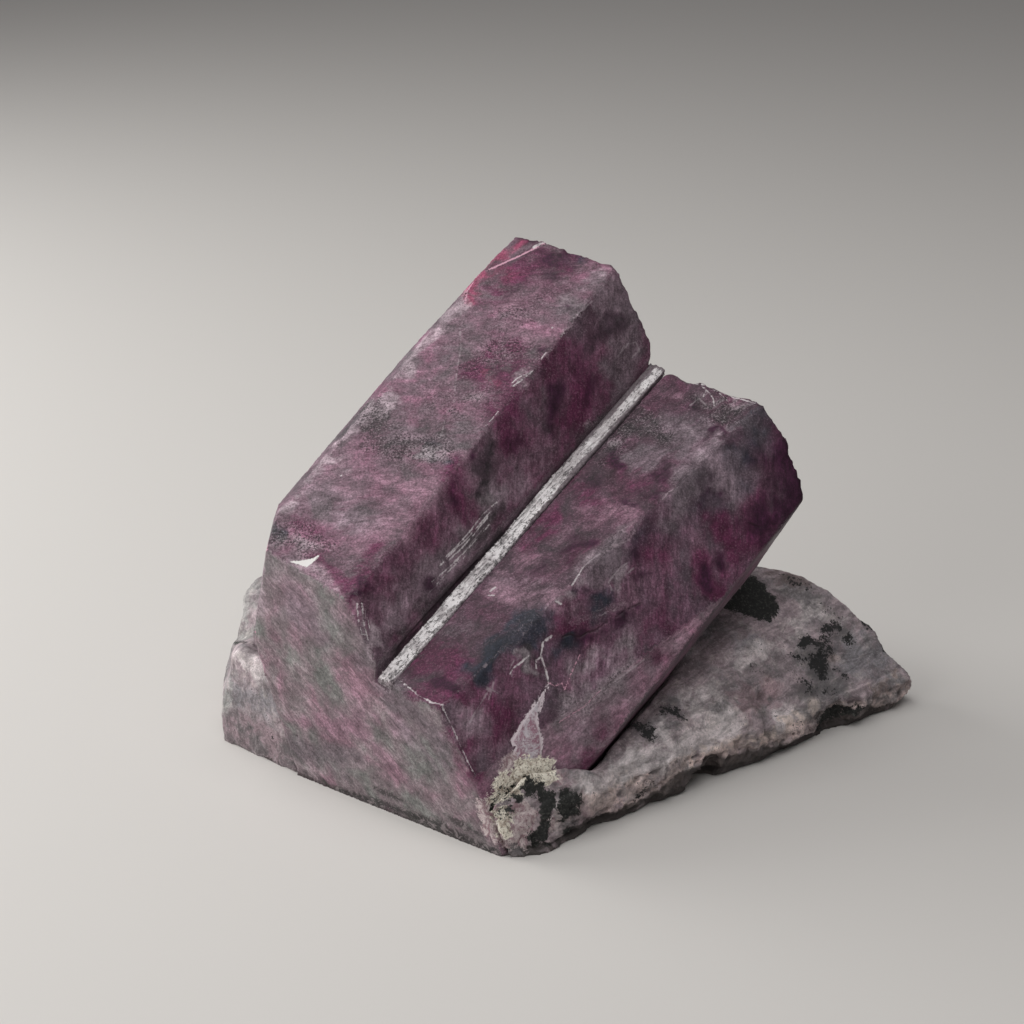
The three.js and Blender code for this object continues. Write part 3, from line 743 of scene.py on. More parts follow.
# patches: the x, y of their corners, in order
beryl["patches"] = {
    "chip": [
        [289, 561, 304, 560, 312, 558, 321, 554, 314, 561, 307, 567, 298, 564],
    ],
    "broken": [
        [334, 786, 364, 795, 382, 800, 401, 808, 424, 815, 444, 824, 479, 842, 500, 851, 498, 858,
         476, 849, 449, 836, 401, 815, 364, 803, 336, 792],
        [372, 787, 386, 789, 398, 796, 408, 803, 396, 801, 382, 795],
        [440, 812, 456, 818, 474, 829, 486, 838, 468, 832, 452, 823],
    ],
    "vein": [
        [549, 683, 539, 697, 530, 710, 522, 722, 511, 742, 515, 748, 510, 760, 506, 770, 520, 766,
         542, 758, 543, 745, 541, 730, 537, 720, 545, 696],
    ],
}

beryl["noises"] = {  # scale, detail, roughness, distortion, and the stretch across and along the grain
    "cloud": (120, 6, 0.55, 0.6),
    "fine": (3000, 3, 0.8, 0),
    "patchy": (650, 6, 0.75, 0.8),
    "coarse": (1500, 3, 0.75, 0),
    "soft": (170, 3, 0.5, 0.5, (1, 0.45, 1)),
    "drift": (240, 7, 0.6, 0.6, (1, 0.75, 1)),
    "mottle": (800, 5, 0.7, 0.6, (1, 0.6, 1)),
    "streak": (1100, 4, 0.65, 0.8, (1, 0.25, 1)),
    "hair": (2400, 3, 0.6, 0.4, (1, 0.12, 1)),
}
beryl["stainTints"] = {  # where a stain starts and is full, how much it covers, and its colour
    "grey": (0.1, 0.8, 0.75, (0.150, 0.122, 0.140)),
    "dusk": (0.1, 0.8, 0.8, (0.080, 0.036, 0.056)),
    "mauve": (0.0, 0.9, 0.85, (0.242, 0.178, 0.214)),
    "pink": (0.1, 0.8, 0.75, (0.268, 0.155, 0.205)),
    "magenta": (0.0, 0.8, 0.94, (0.108, 0.022, 0.061)),
    "plum": (0.0, 0.85, 0.94, (0.034, 0.008, 0.025)),
    "slate": (0.0, 0.9, 0.88, (0.022, 0.031, 0.045)),
    "dark": (0.0, 0.95, 0.80, (0.042, 0.038, 0.040)),
    "frost": (0.15, 0.85, 0.6, (0.320, 0.270, 0.296)),
    "red": (0.0, 0.6, 0.95, (0.280, 0.058, 0.118)),
    "pale": (0.1, 0.9, 0.75, (0.400, 0.320, 0.360)),
}
beryl["tints"] = {
    "pinker": (1.22, 0.92, 1.07), "greyer": (0.80, 1.02, 0.90),  # these two multiply the face's own tint
    "underside": (0.062, 0.060, 0.054), "pepper": (0.026, 0.020, 0.024), "salt": (0.420, 0.370, 0.395),
    "wearAndEdgeHighlight": (0.450, 0.360, 0.400), "crack": (0.020, 0.007, 0.012), "rosyLine": (0.560, 0.310, 0.400),
    "faintLine": (0.480, 0.420, 0.450), "whiteLine": (0.680, 0.630, 0.650), "chip": (0.800, 0.780, 0.770),
    "veinPale": (0.560, 0.510, 0.555), "veinPink": (0.330, 0.185, 0.240), "veinDark": (0.190, 0.125, 0.152),
    "veinGlint": (0.700, 0.640, 0.680), "veinRim": (0.740, 0.650, 0.695),
    "rubbleDark": (0.036, 0.034, 0.034), "rubblePale": (0.250, 0.215, 0.222),
}

# the broken corner, where both minerals meet
corner = {
    "tints": {
        "rosyDark": (0.300, 0.190, 0.215), "rosyPale": (0.620, 0.530, 0.530),
        "rosyPepper": (0.150, 0.100, 0.105),
        "creamDark": (0.470, 0.390, 0.320), "creamPale": (0.930, 0.880, 0.760),
        "creamPepper": (0.140, 0.115, 0.085), "creamSalt": (0.900, 0.870, 0.800),
        "black": (0.013, 0.014, 0.013), "blackSalt": (0.130, 0.130, 0.118),
    },
}
corner["patches"] = {
    "cream": [
        [508, 776, 516, 762, 530, 756, 545, 757, 553, 764, 556, 778, 550, 790, 540, 795, 528, 792,
         520, 786],
        [494, 779, 508, 772, 524, 788, 526, 796, 512, 800, 498, 806, 487, 803],
        [490, 808, 506, 802, 514, 812, 513, 832, 507, 843, 497, 834],
    ],
    "pale": [
        [508, 803, 528, 799, 538, 812, 534, 832, 524, 850, 514, 850, 510, 830],
        [543, 828, 548, 836, 556, 832, 558, 816, 552, 812, 551, 824],
        [557, 768, 563, 778, 560, 790, 554, 782], [500, 764, 510, 752, 520, 758, 508, 774, 496, 780],
        [476, 800, 496, 796, 508, 806, 512, 822, 512, 854, 498, 847, 482, 830],
    ],
    "black": [
        [519, 789, 526, 783, 528, 778, 535, 780, 541, 777, 549, 781, 550, 787, 555, 793, 559, 799,
         556, 808, 553, 818, 549, 828, 552, 836, 546, 842, 536, 846, 526, 843, 530, 834, 541, 827,
         543, 815, 538, 808, 537, 799, 528, 797],
        [557, 797, 562, 790, 570, 792, 577, 789, 583, 799, 578, 806, 580, 815, 570, 818, 562, 826,
         559, 814],
        [506, 807, 512, 805, 514, 812, 510, 820, 507, 815], [499, 813, 503, 812, 504, 820, 500, 822],
        [490, 806, 505, 799, 522, 794, 523, 798, 506, 804, 491, 810],
        [544, 846, 556, 838, 570, 828, 580, 822, 572, 834, 556, 846],
    ],
}


def crispMarks(points):
    marks = {name: lineField(points, lines) for name, lines in beryl["lines"].items()}
    for name, outlines in [*beryl["patches"].items(), *corner["patches"].items()]:
        marks[name] = np.maximum(marks.get(name, farOff), patchField(points, outlines))
    return marks


def closestLine(points):
    return np.max([lineField(points, lines) for lines in beryl["lines"].values()], axis=0)


def closestOutline(points):
    patches = [*beryl["patches"].values(), *corner["patches"].values()]
    return np.max([-np.abs(patchField(points, outlines)) for outlines in patches], axis=0)


def gapsTo(edges, points):
    return np.array([edges.find(point)[2] for point in points])


def settle(mesh, tree, edges, reach):
    # back onto the flat faces, and onto their edges where these are within reach
    points = pointsOf(mesh)
    for i, point in enumerate(points):
        place = tree.find_nearest(point)[0]
        line, index, gap = edges.find(place)
        points[i] = line if gap < reach else place
    movePoints(mesh, points)
    tidyUp(mesh)


def unfold(mesh, tree, rounds):
    # relaxes the few faces that settling has folded over
    for _ in range(rounds):
        weight = np.zeros(len(mesh.vertices))
        for face in mesh.polygons:
            if face.normal.dot(tree.find_nearest(face.center)[1]) < 0.5:
                weight[list(face.vertices)] = 1
        movePoints(mesh, easeOut(mesh, pointsOf(mesh), weight, 2))
    print("  folded corners left:", int(weight.sum()))


def berylGrid(mesh, tree, edges):
    # even faces on the flats, finer ones at edges, lines and patches
    near = beryl["finerNear"]
    settle(mesh, tree, edges, beryl["snap"]["coarse"] * beryl["voxel"])
    unfold(mesh, tree, 3)
    refine(mesh, lambda points: -gapsTo(edges, points) / mm, near["edge"])
    settle(mesh, tree, edges, beryl["snap"]["fine"] * beryl["voxel"])
    unfold(mesh, tree, 4)
    refine(mesh, lambda points: np.maximum(closestLine(points), closestOutline(points)), near["outline"])
    refine(mesh, closestLine, near["line"])


def berylDepth(points, flat, gap, marks):
    # how far the surface is cut away: worn edges, growth grooves, pits, cracks and the broken foot
    def waves(name, points):
        size, seed, layers = beryl["waves"][name]
        return layeredNoise(points, size * mm, seed, layers)

    cut = beryl["depths"]
    chips = waves("chips", points) + 0.5 * waves("nicks", points)
    wear = between(gap, 0.9 * mm, 0) * between(chips, 0.3, 0.8)
    foot = between(flat[:, 2], 2.2 * mm, 0.6 * mm) * (0.5 + waves("foot", points))
    grooves = waves("grooves", points - (points @ growth)[:, None] * growth * 0.93)
    pits = between(waves("pits", points), 0.45, 0.9)
    swell = waves("swell", points)
    return mm * (
        cut["wear"] * wear
        + cut["grooves"] * (grooves + 0.6)
        + cut["pits"] * pits
        + cut["swell"] * (swell + 0.5)
        + cut["foot"] * np.clip(foot, 0, 1)
        + cut["crack"] * between(marks["crack"], -0.15, 0.05)
        + cut["white"] * between(marks["white"], -0.15, 0.1)
        + cut["vein"] * between(np.abs(marks["vein"]), 0.4, 0.1)
        + cut["cream"] * between(marks["cream"], -0.3, 0.3) * (pits + 0.5)
    )


def berylCasts(mesh, flat, faceNormals):
    # each face's own tint, speckle and grain; the unpicked ones have theirs along the crystals
    faceTint, faceSpeckle = beryl["otherFaces"]
    tint = np.tile(np.array([*faceTint, 1.0]), (len(flat), 1))
    speckle = np.full(len(flat), faceSpeckle)
    across = np.cross(faceNormals, growth)
    across /= np.linalg.norm(across, axis=1)[:, None] + 1e-9
    height = np.sum(flat * faceNormals, axis=1)
    grain = np.stack([np.sum(flat * across, axis=1), flat @ growth, height], axis=1)
    for at, ends, faceTint, faceSpeckle in beryl["faces"].values():
        place, normal = surfaceAt(*at)
        start, end = placesAt(ends)
        run = (end - start) / np.linalg.norm(end - start)
        side = np.cross(normal, run)
        on = (faceNormals @ normal > 0.995) & (np.abs((flat - place) @ normal) < 0.4 * mm)
        tint[on, :3] = faceTint
        speckle[on] = faceSpeckle
        grain[on] = np.stack([flat[on] @ side, flat[on] @ run, flat[on] @ normal], axis=1)
    addField(mesh, "tint", tint, "FLOAT_COLOR")
    addField(mesh, "speckle", speckle)
    addField(mesh, "grain", grain, "FLOAT_VECTOR")


def makeBeryl():
    cad = mergedMesh(beryl["node"])
    tree = treeOf(cad)
    edges = sharpLinePoints(cad, beryl["edgeBend"], beryl["edgeSpacing"])
    piece = denseObject("berylCrystals", cad, beryl["voxel"])
    mesh = piece.data
    berylGrid(mesh, tree, edges)
    points = pointsOf(mesh)
    flat = points.copy()
    faceNormals = np.array([tree.find_nearest(point)[1] for point in points])
    gap = gapsTo(edges, points)
    print("  beryl grid:", len(points), "points")

    onTable = flat[:, 2] < 0.05 * mm
    ridge = stainField(flat, [(beryl["ridgeReach"], 1, *line) for line in beryl["ridges"]])
    points = easeOut(mesh, points, between(ridge, 0, 0.6), beryl["ridgeRounds"])
    points = easeOut(mesh, points, 0.8 * between(gap, *beryl["edgeReach"]), beryl["edgeRounds"])
    points[onTable, 2] = 0
    movePoints(mesh, points)
    normals = normalsOf(mesh)
    marks = crispMarks(flat)
    depth = berylDepth(points, flat, gap, marks)
    depth[onTable] = 0
    movePoints(mesh, keepInside(points - normals * depth[:, None]))

    berylCasts(mesh, flat, faceNormals)
    addField(mesh, "hidden", turnedAway(faceNormals))
    addField(mesh, "edge", np.clip(1 - gap / (1.2 * mm), 0, 1))
    # darker near the floor: painted shade where the crystals meet the table
    addField(mesh, "low", between(flat[:, 2], 2.4 * mm, 0.1 * mm))
    for name, stains in beryl["stains"].items():
        addField(mesh, name + "Stain", stainField(flat, stains, *beryl["stray"]))
    for name, field in marks.items():
        addField(mesh, name, field)

    mesh.materials.clear()
    mesh.materials.append(berylStone())
    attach(piece, "root")
    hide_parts(beryl["node"])


def berylStone():
    tints = beryl["tints"]
    stone = Stone("berylStone", beryl)
    place = stone.objectPlace()
    grain = stone.field("grain", "Vector")
    cloud, fine, patchy, coarse = (stone.noise(n, place) for n in ("cloud", "fine", "patchy", "coarse"))
    soft, drift, mottle = (stone.noise(n, grain) for n in ("soft", "drift", "mottle"))
    streak, hair = (stone.noise(n, grain) for n in ("streak", "hair"))
    amount = stone.field("speckle")

    # dusky pink against grey, in clouds that are softer on the smooth faces
    rough = stone.ramp(amount, 0.4, 0.7)
    uneven = stone.plus(soft, stone.times(stone.minus(drift, soft), rough))
    hue = stone.plus(stone.times(cloud, 0.65), stone.times(uneven, 0.35))
    stone.colour = stone.field("tint", "Color")
    stone.coat(stone.ramp(hue, 0.48, 0.62), tints["pinker"], "MULTIPLY")
    stone.coat(stone.ramp(hue, 0.50, 0.37), tints["greyer"], "MULTIPLY")
    wispy = stone.ramp(amount, 0.4, 0.7, 0.5, 1.3)
    stone.ragged = ragged = stone.plus(stone.swing(uneven, 2.2), stone.swing(streak, wispy))
    loose = stone.swing(fine, 0.8)

    # magenta and plum also cloud the faces at the back
    shares = {name: stone.stain(name, *reach) for name, (*reach, tint) in beryl["stainTints"].items()}
    shares["magenta"] = stone.larger(shares["magenta"], stone.unseen(cloud, 0.58, 0.68, 0.8))
    shares["plum"] = stone.larger(shares["plum"], stone.unseen(drift, 0.36, 0.26, 0.8))
    for name, share in shares.items():
        stone.coat(share, beryl["stainTints"][name][3])

    # lighter and darker from point to point, then painted shade near the floor
    brushed = stone.times(stone.ramp(amount, 0.3, 1.0, 1.7, 1.0), stone.ramp(cloud, 0.4, 0.6, 0.4, 1.2))
    sharp = stone.ramp(amount, 0.2, 1.0, 2.0, 3.6)
    tone = beryl["tone"]
    stone.brighten(stone.plus(
        stone.times(drift, tone["drift"]), stone.times(mottle, tone["mottle"]), stone.swing(streak, brushed),
        stone.swing(hair, brushed), stone.swing(fine, sharp),
    ), tone["middle"])
    # painted shade near the floor
    stone.coat(stone.ramp(stone.plus(stone.field("low"), ragged), 0.6, 1.1, 0, 0.8), tints["underside"])

    # salt and pepper, most of it in the dark and the frosted places
    grainy = stone.stain("grainy", 0.0, 0.7)
    shift = stone.minus(fine, stone.times(grainy, 0.03))
    pepper = stone.times(stone.ramp(shift, 0.46, 0.38), stone.ramp(grainy, 0, 1, 0.25, 0.85))
    coarser = stone.times(stone.ramp(coarse, 0.46, 0.40), stone.ramp(grainy, 0.2, 1.0, 0, 0.85))
    salt = stone.times(stone.ramp(fine, 0.55, 0.64), stone.ramp(grainy, 0, 1, 0.14, 0.5))
    salt = stone.times(salt, stone.ramp(shares["plum"], 0.0, 0.6, 1, 0.1))
    stone.coat(stone.larger(pepper, coarser), tints["pepper"])
    stone.coat(salt, tints["salt"])

    # worn edges, partly a painted edge highlight, cracks, chips, and the pale and black minerals of the
    # corner
    stone.coat(stone.ramp(stone.plus(stone.field("edge"), ragged), 1.0, 1.3, 0, 0.4), tints["wearAndEdgeHighlight"])
    outline = stone.plus(stone.math("ABSOLUTE", stone.field("vein")), loose)
    veinStone = stone.layered(
        tints["veinPale"],
        (stone.ramp(mottle, 0.42, 0.56), tints["veinPink"]),
        (stone.ramp(patchy, 0.47, 0.38, 0, 0.7), tints["veinDark"]),
        (stone.ramp(fine, 0.53, 0.62, 0, 0.8), tints["veinGlint"]),
        (stone.ramp(outline, 0.55, 0.25, 0, 0.85), tints["veinRim"]),
    )
    rubble = stone.mix(stone.ramp(patchy, 0.50, 0.58), tints["rubbleDark"], tints["rubblePale"])
    jagged = stone.plus(loose, stone.swing(mottle, 2.4))
    crisp = stone.times(jagged, 0.3)
    shattered = stone.plus(jagged, stone.swing(patchy, 5.0))
    bright = stone.ramp(mottle, 0.40, 0.56, 0.35, 0.9)
    stone.coat(stone.times(stone.mark("crack", stone.times(jagged, 0.6), 0.2), 0.75), tints["crack"])
    stone.coat(stone.mark("vein", jagged), veinStone)
    stone.coat(stone.mark("rosy", loose), tints["rosyLine"])
    stone.coat(stone.times(stone.mark("faint", crisp, 0.12), 0.42), tints["faintLine"])
    stone.coat(stone.times(stone.mark("white", crisp, 0.08), bright), tints["whiteLine"])
    stone.coat(stone.mark("chip", loose), tints["chip"])
    stone.coat(stone.times(stone.mark("broken", shattered, 0.3), 0.85), rubble)
    coatCorner(stone, jagged, patchy, fine)
    stone.shader.inputs["Specular IOR Level"].default_value = beryl["specular"]
    relief = stone.plus(stone.times(fine, 0.8), mottle)
    return stone.finish(stone.ramp(drift, 0.3, 0.7, 0.40, 0.62), relief)


def coatCorner(stone, jagged, patchy, fine):
    # rosy white, cream and green-black minerals, each peppered with the other
    tints = corner["tints"]
    broad = stone.plus(stone.swing(patchy, 3.0), stone.times(jagged, 2.0))
    rosy = stone.layered(
        tints["rosyDark"],
        (stone.ramp(patchy, 0.42, 0.58), tints["rosyPale"]),
        (stone.ramp(fine, 0.46, 0.38, 0, 0.6), tints["rosyPepper"]),
    )
    cream = stone.layered(
        tints["creamDark"],
        (stone.ramp(patchy, 0.38, 0.56), tints["creamPale"]),
        (stone.ramp(fine, 0.47, 0.39, 0, 0.85), tints["creamPepper"]),
        (stone.ramp(fine, 0.54, 0.64, 0, 0.8), tints["creamSalt"]),
    )
    black = stone.mix(stone.ramp(fine, 0.53, 0.62, 0, 0.6), tints["black"], tints["blackSalt"])
    stone.coat(stone.mark("pale", broad, 0.2), rosy)
    stone.coat(stone.mark("cream", broad, 0.1), cream)
    stone.coat(stone.mark("black", broad), black)


makeBeryl()
print("beryl ready")


# rhodonite rock

rhodonite = {
    "node": "rhodonite_matrix",
    "slot": "rhodonite",
    "voxel": 0.62 * mm,
    "finerNear": 0.8,  # mm from the outline of a black or shaded patch
    "patchDepth": 8,  # mm
    "easing": {"weight": 0.9, "rounds": 3},
    "depths": {"lumps": 0.14, "crags": 0.14, "steepCrags": 0.6, "bedding": 0.6, "undercut": 0.35},  # mm
    "beds": np.array([1, 1, 2.8]),  # bedding is this much finer upwards
    "stray": (1.6, 2.5),  # mm that stains stray, and the size of their waves
    "sootyStray": (0.6, 2.5),
    "frayed": 0.35,
    "tone": {"drift": 2.6, "fibres": 4.8, "fine": 2.6, "middle": 4.87},
    "roughness": 0.7,
    "bump": (0.7, 0.35 * mm),
}
rhodonite["stains"] = {
    "sooty": [  # clusters of small black grains
        (2.3, 1.2, 803, 641, 820, 645, 834, 650), (2.3, 1.2, 826, 628, 838, 627, 848, 636),
        (2, 1.1, 826, 638, 816, 655, 812, 663), (1.6, 1, 794, 657, 806, 658),
        (2.4, 1.1, 824, 655, 822, 680), (3, 0.7, 800, 680, 818, 695, 830, 690),
        (1.4, 0.8, 836, 671, 848, 678), (1.6, 1, 870, 620, 882, 634, 888, 648),
        (1.4, 0.8, 823, 607, 838, 616), (1.2, 0.9, 752, 668, 765, 674),
        (2, 1.3, 663, 710, 672, 706, 682, 717), (2, 1.2, 634, 724, 650, 733),
        (1.4, 0.8, 608, 740, 622, 730), (2, 0.7, 782, 575, 812, 590), (1.4, 0.8, 655, 786, 640, 795),
    ],
    "pale": [
        (3, 1, 702, 696, 716, 688), (3, 0.9, 800, 616, 790, 640), (4, 0.7, 772, 650, 740, 662),
        (3, 1, 664, 732, 670, 752), (3.4, 1, 642, 752, 616, 768), (3.4, 0.9, 600, 780, 580, 795),
        (5, 1, 590, 792, 640, 768, 700, 738, 730, 722), (4, 0.8, 560, 812, 580, 800),
        (3.5, 0.9, 684, 696, 694, 712), (3, 0.8, 836, 620, 812, 610), (3.5, 0.8, 240, 655, 262, 672),
        (3, 1, 782, 718, 804, 708, 816, 704),
    ],
    "cream": [
        (2, 1, 788, 722, 804, 712, 818, 704), (1.9, 1, 716, 748, 745, 740, 775, 734),
        (1.6, 0.9, 690, 758, 702, 750), (1.8, 0.9, 612, 790, 630, 780), (1.6, 0.8, 868, 690, 900, 678),
    ],
    "rosy": [
        (4.5, 0.9, 742, 708, 772, 690), (3, 0.9, 618, 788, 646, 780), (3, 0.9, 590, 812, 606, 800),
        (3.4, 0.8, 676, 738, 702, 728), (2.6, 1, 514, 828, 520, 842), (3, 0.6, 700, 742, 735, 738),
    ],
    "haze": [
        (3.5, 1, 824, 655, 818, 676, 804, 698), (3, 0.9, 830, 690, 845, 682),
        (2.6, 0.8, 838, 630, 826, 650), (2.6, 0.8, 672, 712, 640, 732), (2, 0.7, 884, 634, 872, 618),
        (2.2, 0.7, 760, 668, 744, 678),
    ],
    "green": [
        (4, 1, 240, 585, 240, 634), (3, 0.7, 228, 690, 224, 730),
    ],
    "slate": [
        (4, 1, 235, 696, 280, 704), (6, 1, 850, 662, 888, 655), (3, 0.7, 760, 640, 735, 650),
        (4, 0.8, 250, 750, 290, 762),
    ],
    "brown": [
        # the second brown stain is painted shade on the slab's top next to the crystal's far end
        (2.5, 1, 872, 692, 906, 682), (3.6, 0.9, 772, 570, 800, 584),
    ],
    "shade": [
        (4.6, 1, 732, 618, 700, 655, 664, 692, 640, 718, 600, 765), (5, 0.5, 725, 690, 755, 700),
        (2, 1, 840, 702, 868, 700),
    ],
}
rhodonite["patches"] = {
    "black": [
        [722, 605, 731, 594, 742, 580, 754, 578, 765, 583, 776, 597, 778, 608, 770, 619, 754, 617,
         738, 611],
        [836, 706, 852, 710, 868, 708, 852, 716, 834, 720, 822, 728, 816, 722],
    ],
    "foot": [
        [540, 758, 560, 760, 592, 768, 578, 780, 563, 794, 552, 790],
        [216, 720, 232, 708, 262, 722, 297, 737, 318, 764, 304, 786, 216, 752],
    ],
    # painted shadow under the broken rim, along its lower edge
    "under": [
        [872, 704, 850, 712, 836, 716, 819, 728, 800, 739, 783, 745, 760, 749, 733, 757, 706, 762,
         682, 772, 668, 785, 650, 797, 628, 806, 600, 818, 578, 826, 560, 840, 556, 862, 600, 842,
         655, 822, 690, 800, 740, 782, 790, 768, 830, 748, 880, 724],
    ],
}
rhodonite["lines"] = {
    "black": [
        (0.3, 228, 640, 240, 642, 254, 644),
    ],
}
rhodonite["noises"] = {
    "cloud": (130, 6, 0.6, 0.5),
    "drift": (280, 9, 0.66, 0.7),
    "fine": (2400, 4, 0.8, 0),
    "patchy": (650, 6, 0.75, 0.8),
    "fibres": (620, 6, 0.7, 0.9, (0.3, 1, 0.7)),
}
rhodonite["stainTints"] = {
    "slate": (0.1, 0.8, 0.8, (0.205, 0.195, 0.212)),
    "green": (0.1, 0.8, 0.85, (0.300, 0.298, 0.290)),
    "rosy": (0.15, 0.8, 0.75, (0.320, 0.215, 0.238)),
    "pale": (0.15, 0.8, 0.8, (0.570, 0.520, 0.525)),
    "cream": (0.1, 0.9, 0.8, (0.600, 0.500, 0.450)),
    "brown": (0.15, 0.8, 0.85, (0.150, 0.112, 0.110)),
    "shade": (0.1, 0.9, 0.8, (0.150, 0.112, 0.124)),
}
rhodonite["tints"] = {
    "grey": (0.215, 0.198, 0.206), "pink": (0.380, 0.305, 0.330), "rim": (0.520, 0.410, 0.385),
    "ridge": (0.480, 0.420, 0.400), "footGrey": (0.172, 0.150, 0.158), "footPink": (0.232, 0.170, 0.190),
    "glint": (0.560, 0.520, 0.520), "hollow": (0.060, 0.052, 0.052), "underside": (0.040, 0.034, 0.030),
    "haze": (0.090, 0.084, 0.088), "soot": (0.016, 0.016, 0.017), "under": (0.045, 0.038, 0.036),
}


def makeRhodonite():
    cad = mergedMesh(rhodonite["node"])
    rock = treeOf(cad)
    piece = denseObject("rhodoniteRock", cad, rhodonite["voxel"])
    mesh = piece.data
    refine(mesh, lambda points: rhodoniteOutlines(points, rock), rhodonite["finerNear"])
    points = pointsOf(mesh)
    normals = normalsOf(mesh)
    flat = points.copy()
    print("  rhodonite grid:", len(points), "points")

    # eased, then broken into lumps, crags and beds where it is steep
    cut = rhodonite["depths"]
    upright = between(points[:, 2], 0.2 * mm, 1.2 * mm)
    points = easeOut(mesh, points, upright * rhodonite["easing"]["weight"], rhodonite["easing"]["rounds"])
    steep = between(normals[:, 2], 0.7, 0.3) * (0.15 + 0.85 * between(points[:, 0], -30 * mm, -5 * mm))
    lumps = layeredNoise(points, 5 * mm, seed=51, layers=5, fall=0.6)
    crags = np.abs(layeredNoise(points, 3 * mm, seed=61, layers=5, fall=0.62))
    bedding = np.abs(layeredNoise(points * rhodonite["beds"], 2.6 * mm, seed=65, layers=3))
    rugged = (cut["crags"] + cut["steepCrags"] * steep) * crags
    depth = mm * (cut["lumps"] * (lumps + 0.4) + rugged + cut["bedding"] * steep * bedding)
    depth += cut["undercut"] * mm * between(points[:, 2], 1.8 * mm, 0.9 * mm) * steep
    points = points - normals * (depth * upright)[:, None]
    movePoints(mesh, keepInside(points))

    addField(mesh, "hidden", turnedAway(normals))
    # deeper hollows are painted darker as shade
    addField(mesh, "hollow", between(depth, 0.3 * mm, 0.9 * mm))
    # raised crests are painted lighter as a highlight
    addField(mesh, "ridge", between(crags + bedding, 0.35, 0.05))
    addField(mesh, "rim", between(normals[:, 2], 0.5, 0.2) * between(points[:, 0], -10 * mm, 0))
    # near the floor the rock is painted darker as shade, a little less of it on the left
    rightward = between(points[:, 0], -42 * mm, -20 * mm)
    addField(mesh, "low", between(points[:, 2], 4 * mm, 0.5 * mm) * (0.7 + 0.3 * rightward))
    for name, stains in rhodonite["stains"].items():
        stray = rhodonite["sootyStray" if name == "sooty" else "stray"]
        addField(mesh, name + "Stain", stainField(flat, stains, *stray, rock))
    for name, field in rhodoniteMarks(flat, rock).items():
        addField(mesh, name, field)

    mesh.materials.clear()
    mesh.materials.append(rhodoniteStone())
    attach(piece, "root")
    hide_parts(rhodonite["node"])


def rhodoniteMarks(points, rock):
    marks = {name: patchField(points, outlines) for name, outlines in corner["patches"].items()}
    for name, outlines in rhodonite["patches"].items():
        field = patchField(points, outlines, rhodonite["patchDepth"], rock)
        marks[name] = np.maximum(marks.get(name, farOff), field)
    for name, lines in rhodonite["lines"].items():
        marks[name] = np.maximum(marks[name], lineField(points, lines, rock))
    return marks


def rhodoniteOutlines(points, rock):
    marks = rhodoniteMarks(points, rock)
    return np.maximum(-np.abs(marks["black"]), -np.abs(marks["under"]))


def rhodoniteStone():
    tints = rhodonite["tints"]
    stone = Stone("rhodoniteStone", rhodonite)
    place = stone.objectPlace()
    turned = stone.add("ShaderNodeVectorRotate", {
        "Vector": place, "Axis": (0, 0, 1), "Angle": -growthTurn,
    }, rotation_type="AXIS_ANGLE").outputs["Vector"]
    cloud, drift, fine, patchy = (stone.noise(n, place) for n in ("cloud", "drift", "fine", "patchy"))
    fibres = stone.noise("fibres", turned)
    stone.colour = stone.mix(stone.ramp(cloud, 0.40, 0.60), tints["grey"], tints["pink"])
    stone.ragged = ragged = stone.swing(drift, 2.4)
    loose = stone.plus(ragged, stone.swing(fine, 1.2))
    for name, (*reach, tint) in rhodonite["stainTints"].items():
        stone.coat(stone.stain(name, *reach), tint)

    # pale broken rim, ridges lightened as a painted highlight on the crests, and the duller foot
    rim = stone.times(stone.field("rim"), stone.ramp(drift, 0.40, 0.58, 0.1, 0.75))
    foot = stone.mix(stone.ramp(drift, 0.36, 0.62), tints["footGrey"], tints["footPink"])
    stone.coat(rim, tints["rim"])
    stone.coat(stone.times(stone.field("ridge"), 0.35), tints["ridge"])
    stone.coat(stone.mark("foot", stone.times(ragged, 1.5), 1.0), foot)

    # lighter and darker from point to point, then painted shade in the hollows and near the floor, haze,
    # black grains and the painted shadow under the rim
    tone = rhodonite["tone"]
    stone.brighten(stone.plus(
        stone.times(drift, tone["drift"]), stone.times(fibres, tone["fibres"]),
        stone.times(fine, tone["fine"]),
    ), tone["middle"])
    stone.coat(stone.ramp(fine, 0.58, 0.68, 0, 0.5), tints["glint"])
    stone.coat(stone.ramp(stone.field("hollow"), 0.3, 1.0, 0, 0.5), tints["hollow"])
    stone.coat(stone.ramp(stone.plus(stone.field("low"), ragged), 0.75, 1.0, 0, 0.85), tints["underside"])
    stone.coat(stone.stain("haze", 0.1, 0.9, 0.7), tints["haze"])
    threads = stone.plus(stone.swing(fibres, 2.4), stone.swing(fine, 2.0))
    soot = stone.ramp(stone.plus(stone.field("sootyStain"), stone.plus(loose, threads)), 0.62, 0.80)
    stone.coat(stone.larger(soot, stone.unseen(drift, 0.64, 0.67, 1.0)), tints["soot"])
    # painted shadow under the rim
    stone.coat(stone.times(stone.mark("under", ragged, 0.25), 0.85), tints["under"])
    coatCorner(stone, stone.times(loose, 1.1), patchy, fine)
    return stone.finish(rhodonite["roughness"], stone.plus(fine, fibres))


makeRhodonite()
print("rhodonite ready")


# quartz strip in the seam

